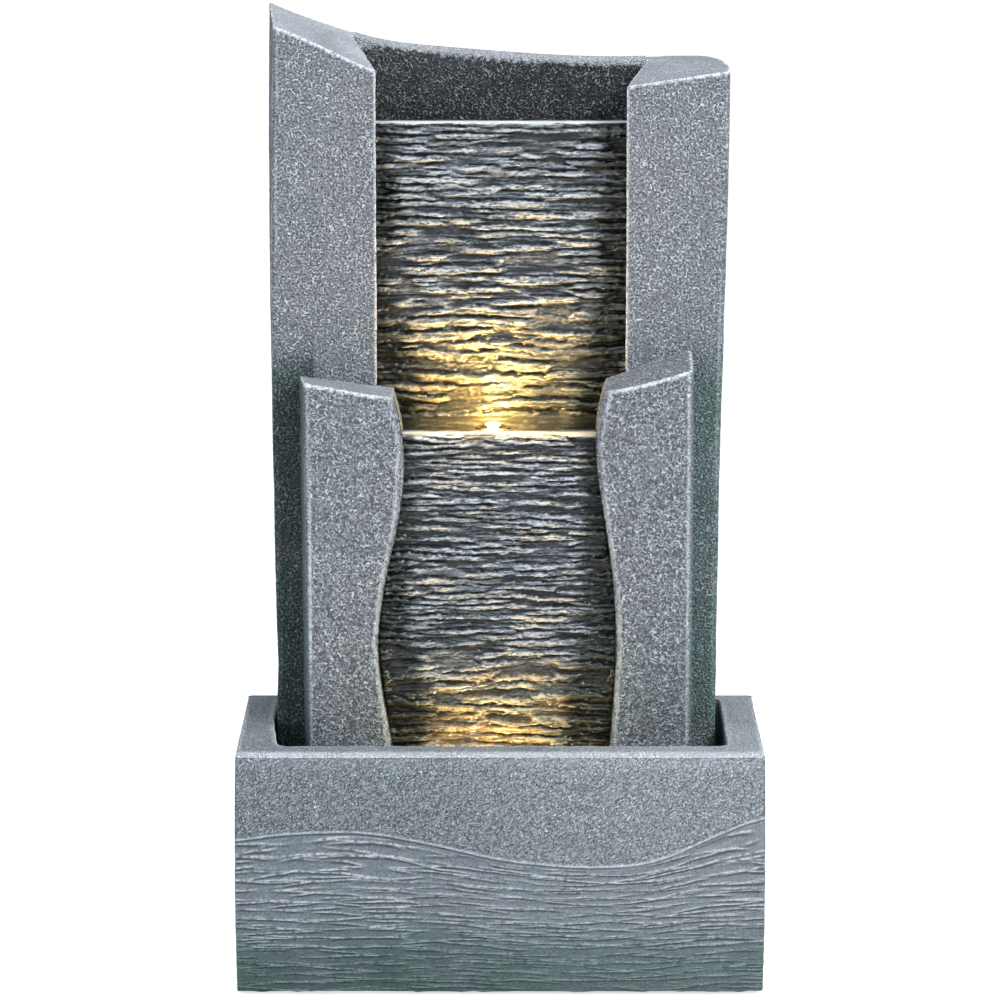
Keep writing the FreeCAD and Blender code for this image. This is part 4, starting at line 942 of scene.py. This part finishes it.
# Each wall's half width, ends and planes; its beds' pitch; the height under which its beds broaden
# and the lights' warm glow is painted on it, and over how much it fades; the half width that its painted
# side shade is measured from; the height of the painted highlight along its lip, and how strongly the
# glow is painted on its lip and beds; its noise seed; and how far its relief reaches
UPPER_WALL = SimpleNamespace(
    half=0.1157,
    low=0.430,
    lip=0.726,
    foot=0.468,
    face=0.073,
    rear=0.086,
    pitch=0.0080,
    calm_height=0.468,
    calm_fade=0.10,
    shade_half=0.1125,
    rounding=0.0030,
    golden=0.0,
    seed=4.0,
    reach=everywhere,
)
LOWER_WALL = SimpleNamespace(
    half=0.1119,
    low=0.048,
    lip=0.467,
    foot=0.060,
    face=0.005,
    rear=0.020,
    pitch=0.0062,
    calm_height=0.20,
    calm_fade=0.07,
    shade_half=0.097,
    rounding=0.0062,
    golden=0.7,
    seed=21.0,
    reach=between_pillars,
)


# The worked castings and slates

DRY_STONE = cast_stone("cast_stone", face=(0.172, 0.188, 0.216), grain=300.0, relief=1.1)
BASIN_STONE = cast_stone(
    "basin_stone", face=(0.225, 0.270, 0.305), grain=240.0, relief=2.0, slant=-0.8, stretch=1.7
)
RECESS_STONE = cast_stone(
    "recess_stone", face=(0.165, 0.190, 0.208), grain=330.0, relief=1.4, cover=-0.01, recessed=True
)
WET_SLATE = slate()

tower_pillar(
    "tower_left",
    side=-1,
    cavity_x=-0.1915,
    edge_x=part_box("tower_left")[0][0],
    corner=(0.005, 0.016),
    tops=(0.8045, 0.771, 0.795, 0.8185),
)
tower_pillar(
    "tower_right",
    side=1,
    cavity_x=0.1847,
    edge_x=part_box("tower_right")[1][0],
    corner=(0.024, 0.060),
    tops=(0.7675, 0.7565, 0.773, 0.7725),
)
tier()
basin()
slate_wall("upper_slate", "upper_cascade_slab", UPPER_WALL)
slate_wall("lower_slate", "lower_cascade_slab", LOWER_WALL)


# The CAD nodes that show as they are


def dress(piece, look):
    piece.data.materials.clear()
    piece.data.materials.append(look)


for name in ("tower_back", "pocket_floor"):
    dress(nodes[name], RECESS_STONE)

# Colour, colour of its marks and roughness, with what else a slot's material needs
PLAIN_LOOKS = {
    "black_rubber": ((0.02, 0.02, 0.021), (0.045, 0.045, 0.047), 0.62, {}),
    "black_plastic": ((0.025, 0.026, 0.028), (0.045, 0.047, 0.05), 0.38, {}),
    "blue_plastic": ((0.03, 0.12, 0.35), (0.05, 0.16, 0.4), 0.34, {}),
    "white_plastic": ((0.7, 0.7, 0.68), (0.6, 0.6, 0.56), 0.35, {}),
    "steel": ((0.55, 0.56, 0.57), (0.4, 0.41, 0.42), 0.26, {"Metallic": 1.0}),
    "ferrite": ((0.05, 0.05, 0.055), (0.08, 0.075, 0.07), 0.55, {}),
    "white_ceramic": ((0.8, 0.8, 0.76), (0.74, 0.73, 0.68), 0.2, {}),
    "filter_foam": ((0.03, 0.03, 0.03), (0.06, 0.06, 0.06), 0.9, {"scale": 700.0}),
    "clear_hose": (
        (0.62, 0.68, 0.66),
        (0.55, 0.62, 0.58),
        0.16,
        {"Transmission_Weight": 0.75, "IOR": 1.45},
    ),
    "lit_board": (
        (0.9, 0.8, 0.5),
        (0.8, 0.7, 0.4),
        0.4,
        {"Emission_Color": (1, 0.72, 0.32, 1), "Emission_Strength": 6.0},
    ),
}
looks = {}
for slot, (colour, mark, roughness, more) in PLAIN_LOOKS.items():
    looks[slot] = moulded(slot, colour, mark, roughness, **more)
looks["clear_lens"] = lit_lens()
for row in frame["record"]["subparts"]:
    if row["material_slot"] in looks:
        dress(nodes[row["node"]], looks[row["material_slot"]])


# Camera, lamps and floor

camera = bpy.data.objects.new("camera", bpy.data.cameras.new("camera"))
camera.data.sensor_width = 36.0
camera.data.lens = 167.98
camera.location = (0, -3.9207, 1.1712)
camera.rotation_euler = (math.radians(79), 0, 0)
scene.collection.objects.link(camera)
scene.camera = camera


def lamp(name, kind, place, behind, power, colour):
    """A lamp that shines away from the direction behind it, as its object and its light."""
    light = bpy.data.lights.new(name, kind)
    light.energy = power
    light.color = colour
    holder = bpy.data.objects.new(name, light)
    holder.location = place
    holder.rotation_euler = behind.to_track_quat("Z", "Y").to_euler()
    scene.collection.objects.link(holder)
    return holder, light


def area_lamp(name, place, aim, width, height, power, colour=(1, 1, 1)):
    holder, light = lamp(name, "AREA", place, Vector(place) - Vector(aim), power, colour)
    light.shape = "RECTANGLE"
    light.size = width
    light.size_y = height
    holder.visible_camera = False


def glow_lamp(name, kind, place, power, colour=(1, 0.62, 0.19)):
    """A lit fitting's warm light: a broad beam up the slate above it, or its spill close by."""
    _, light = lamp(name, kind, place, Vector((0, -0.12, -1)), power, colour)
    light.shadow_soft_size = 0.006
    if kind == "SPOT":
        light.spot_size = math.radians(160)
        light.spot_blend = 1.0


MIDDLE = (0, 0, 0.4)
LIP_PLACE = (LIGHT_X, -0.010, 0.479)
LIP_AIM = (LIGHT_X, 0.004, LOWER_WALL.lip)
area_lamp("key", (1.5, -1.7, 2.1), MIDDLE, 0.9, 0.9, 60.0, (1.0, 0.985, 0.96))
area_lamp("fill", (-1.9, -1.9, 1.0), MIDDLE, 1.4, 1.4, 22.0, (0.92, 0.96, 1.0))
area_lamp("top", (0, -0.3, 2.6), MIDDLE, 1.6, 1.6, 26.0)
glow_lamp("trough_beam", "SPOT", (LIGHT_X, 0.018, 0.474), 1.55)
glow_lamp("trough_spill", "POINT", (LIGHT_X, 0.050, 0.472), 0.37)
area_lamp("lip_glow", LIP_PLACE, LIP_AIM, 0.10, 0.004, 0.034, (1, 0.66, 0.28))
glow_lamp("basin_beam", "SPOT", (LIGHT_X, -0.045, 0.155), 1.05, (1, 0.69, 0.31))


def studio_world():
    """White wherever the camera sees the background, and a softer, cooler light for everything else."""
    world = bpy.data.worlds.new("studio")
    scene.world = world
    world.use_nodes = True
    tree = world.node_tree
    tree.nodes.clear()
    path = put(tree, "ShaderNodeLightPath").outputs
    seen = calc(tree, "MAXIMUM", path["Is Camera Ray"], path["Is Transmission Ray"])
    soft = put(tree, "ShaderNodeBackground", Color=(0.80, 0.86, 0.93, 1), Strength=0.55).outputs[0]
    white = put(tree, "ShaderNodeBackground", Color=(1, 1, 1, 1), Strength=1.0).outputs[0]
    mixed = put(tree, "ShaderNodeMixShader", Fac=seen)
    tree.links.new(soft, mixed.inputs[1])
    tree.links.new(white, mixed.inputs[2])
    tree.links.new(mixed.outputs[0], put(tree, "ShaderNodeOutputWorld").inputs["Surface"])


def floor_material():
    """Matt white, lifted for the camera so that it runs into the background."""
    made = bpy.data.materials.new("floor")
    made.use_nodes = True
    tree = made.node_tree
    tree.nodes.clear()
    matt = put(tree, "ShaderNodeBsdfDiffuse", Color=(0.8, 0.8, 0.8, 1)).outputs[0]
    seen = put(tree, "ShaderNodeLightPath").outputs["Is Camera Ray"]
    lift = put(tree, "ShaderNodeEmission", Color=(1, 1, 1, 1), Strength=times(tree, seen, 0.7)).outputs[0]
    both = put(tree, "ShaderNodeAddShader")
    tree.links.new(matt, both.inputs[0])
    tree.links.new(lift, both.inputs[1])
    tree.links.new(both.outputs[0], put(tree, "ShaderNodeOutputMaterial").inputs["Surface"])
    return made


studio_world()
FLOOR_HALF = 30.0
floor_corners = [(FLOOR_HALF * x, FLOOR_HALF * y, 0) for x, y in ((-1, -1), (1, -1), (1, 1), (-1, 1))]
floor_mesh = bpy.data.meshes.new("floor")
floor_mesh.from_pydata(floor_corners, [], [(0, 1, 2, 3)])
floor_mesh.materials.append(floor_material())
floor = bpy.data.objects.new("floor", floor_mesh)
scene.collection.objects.link(floor)
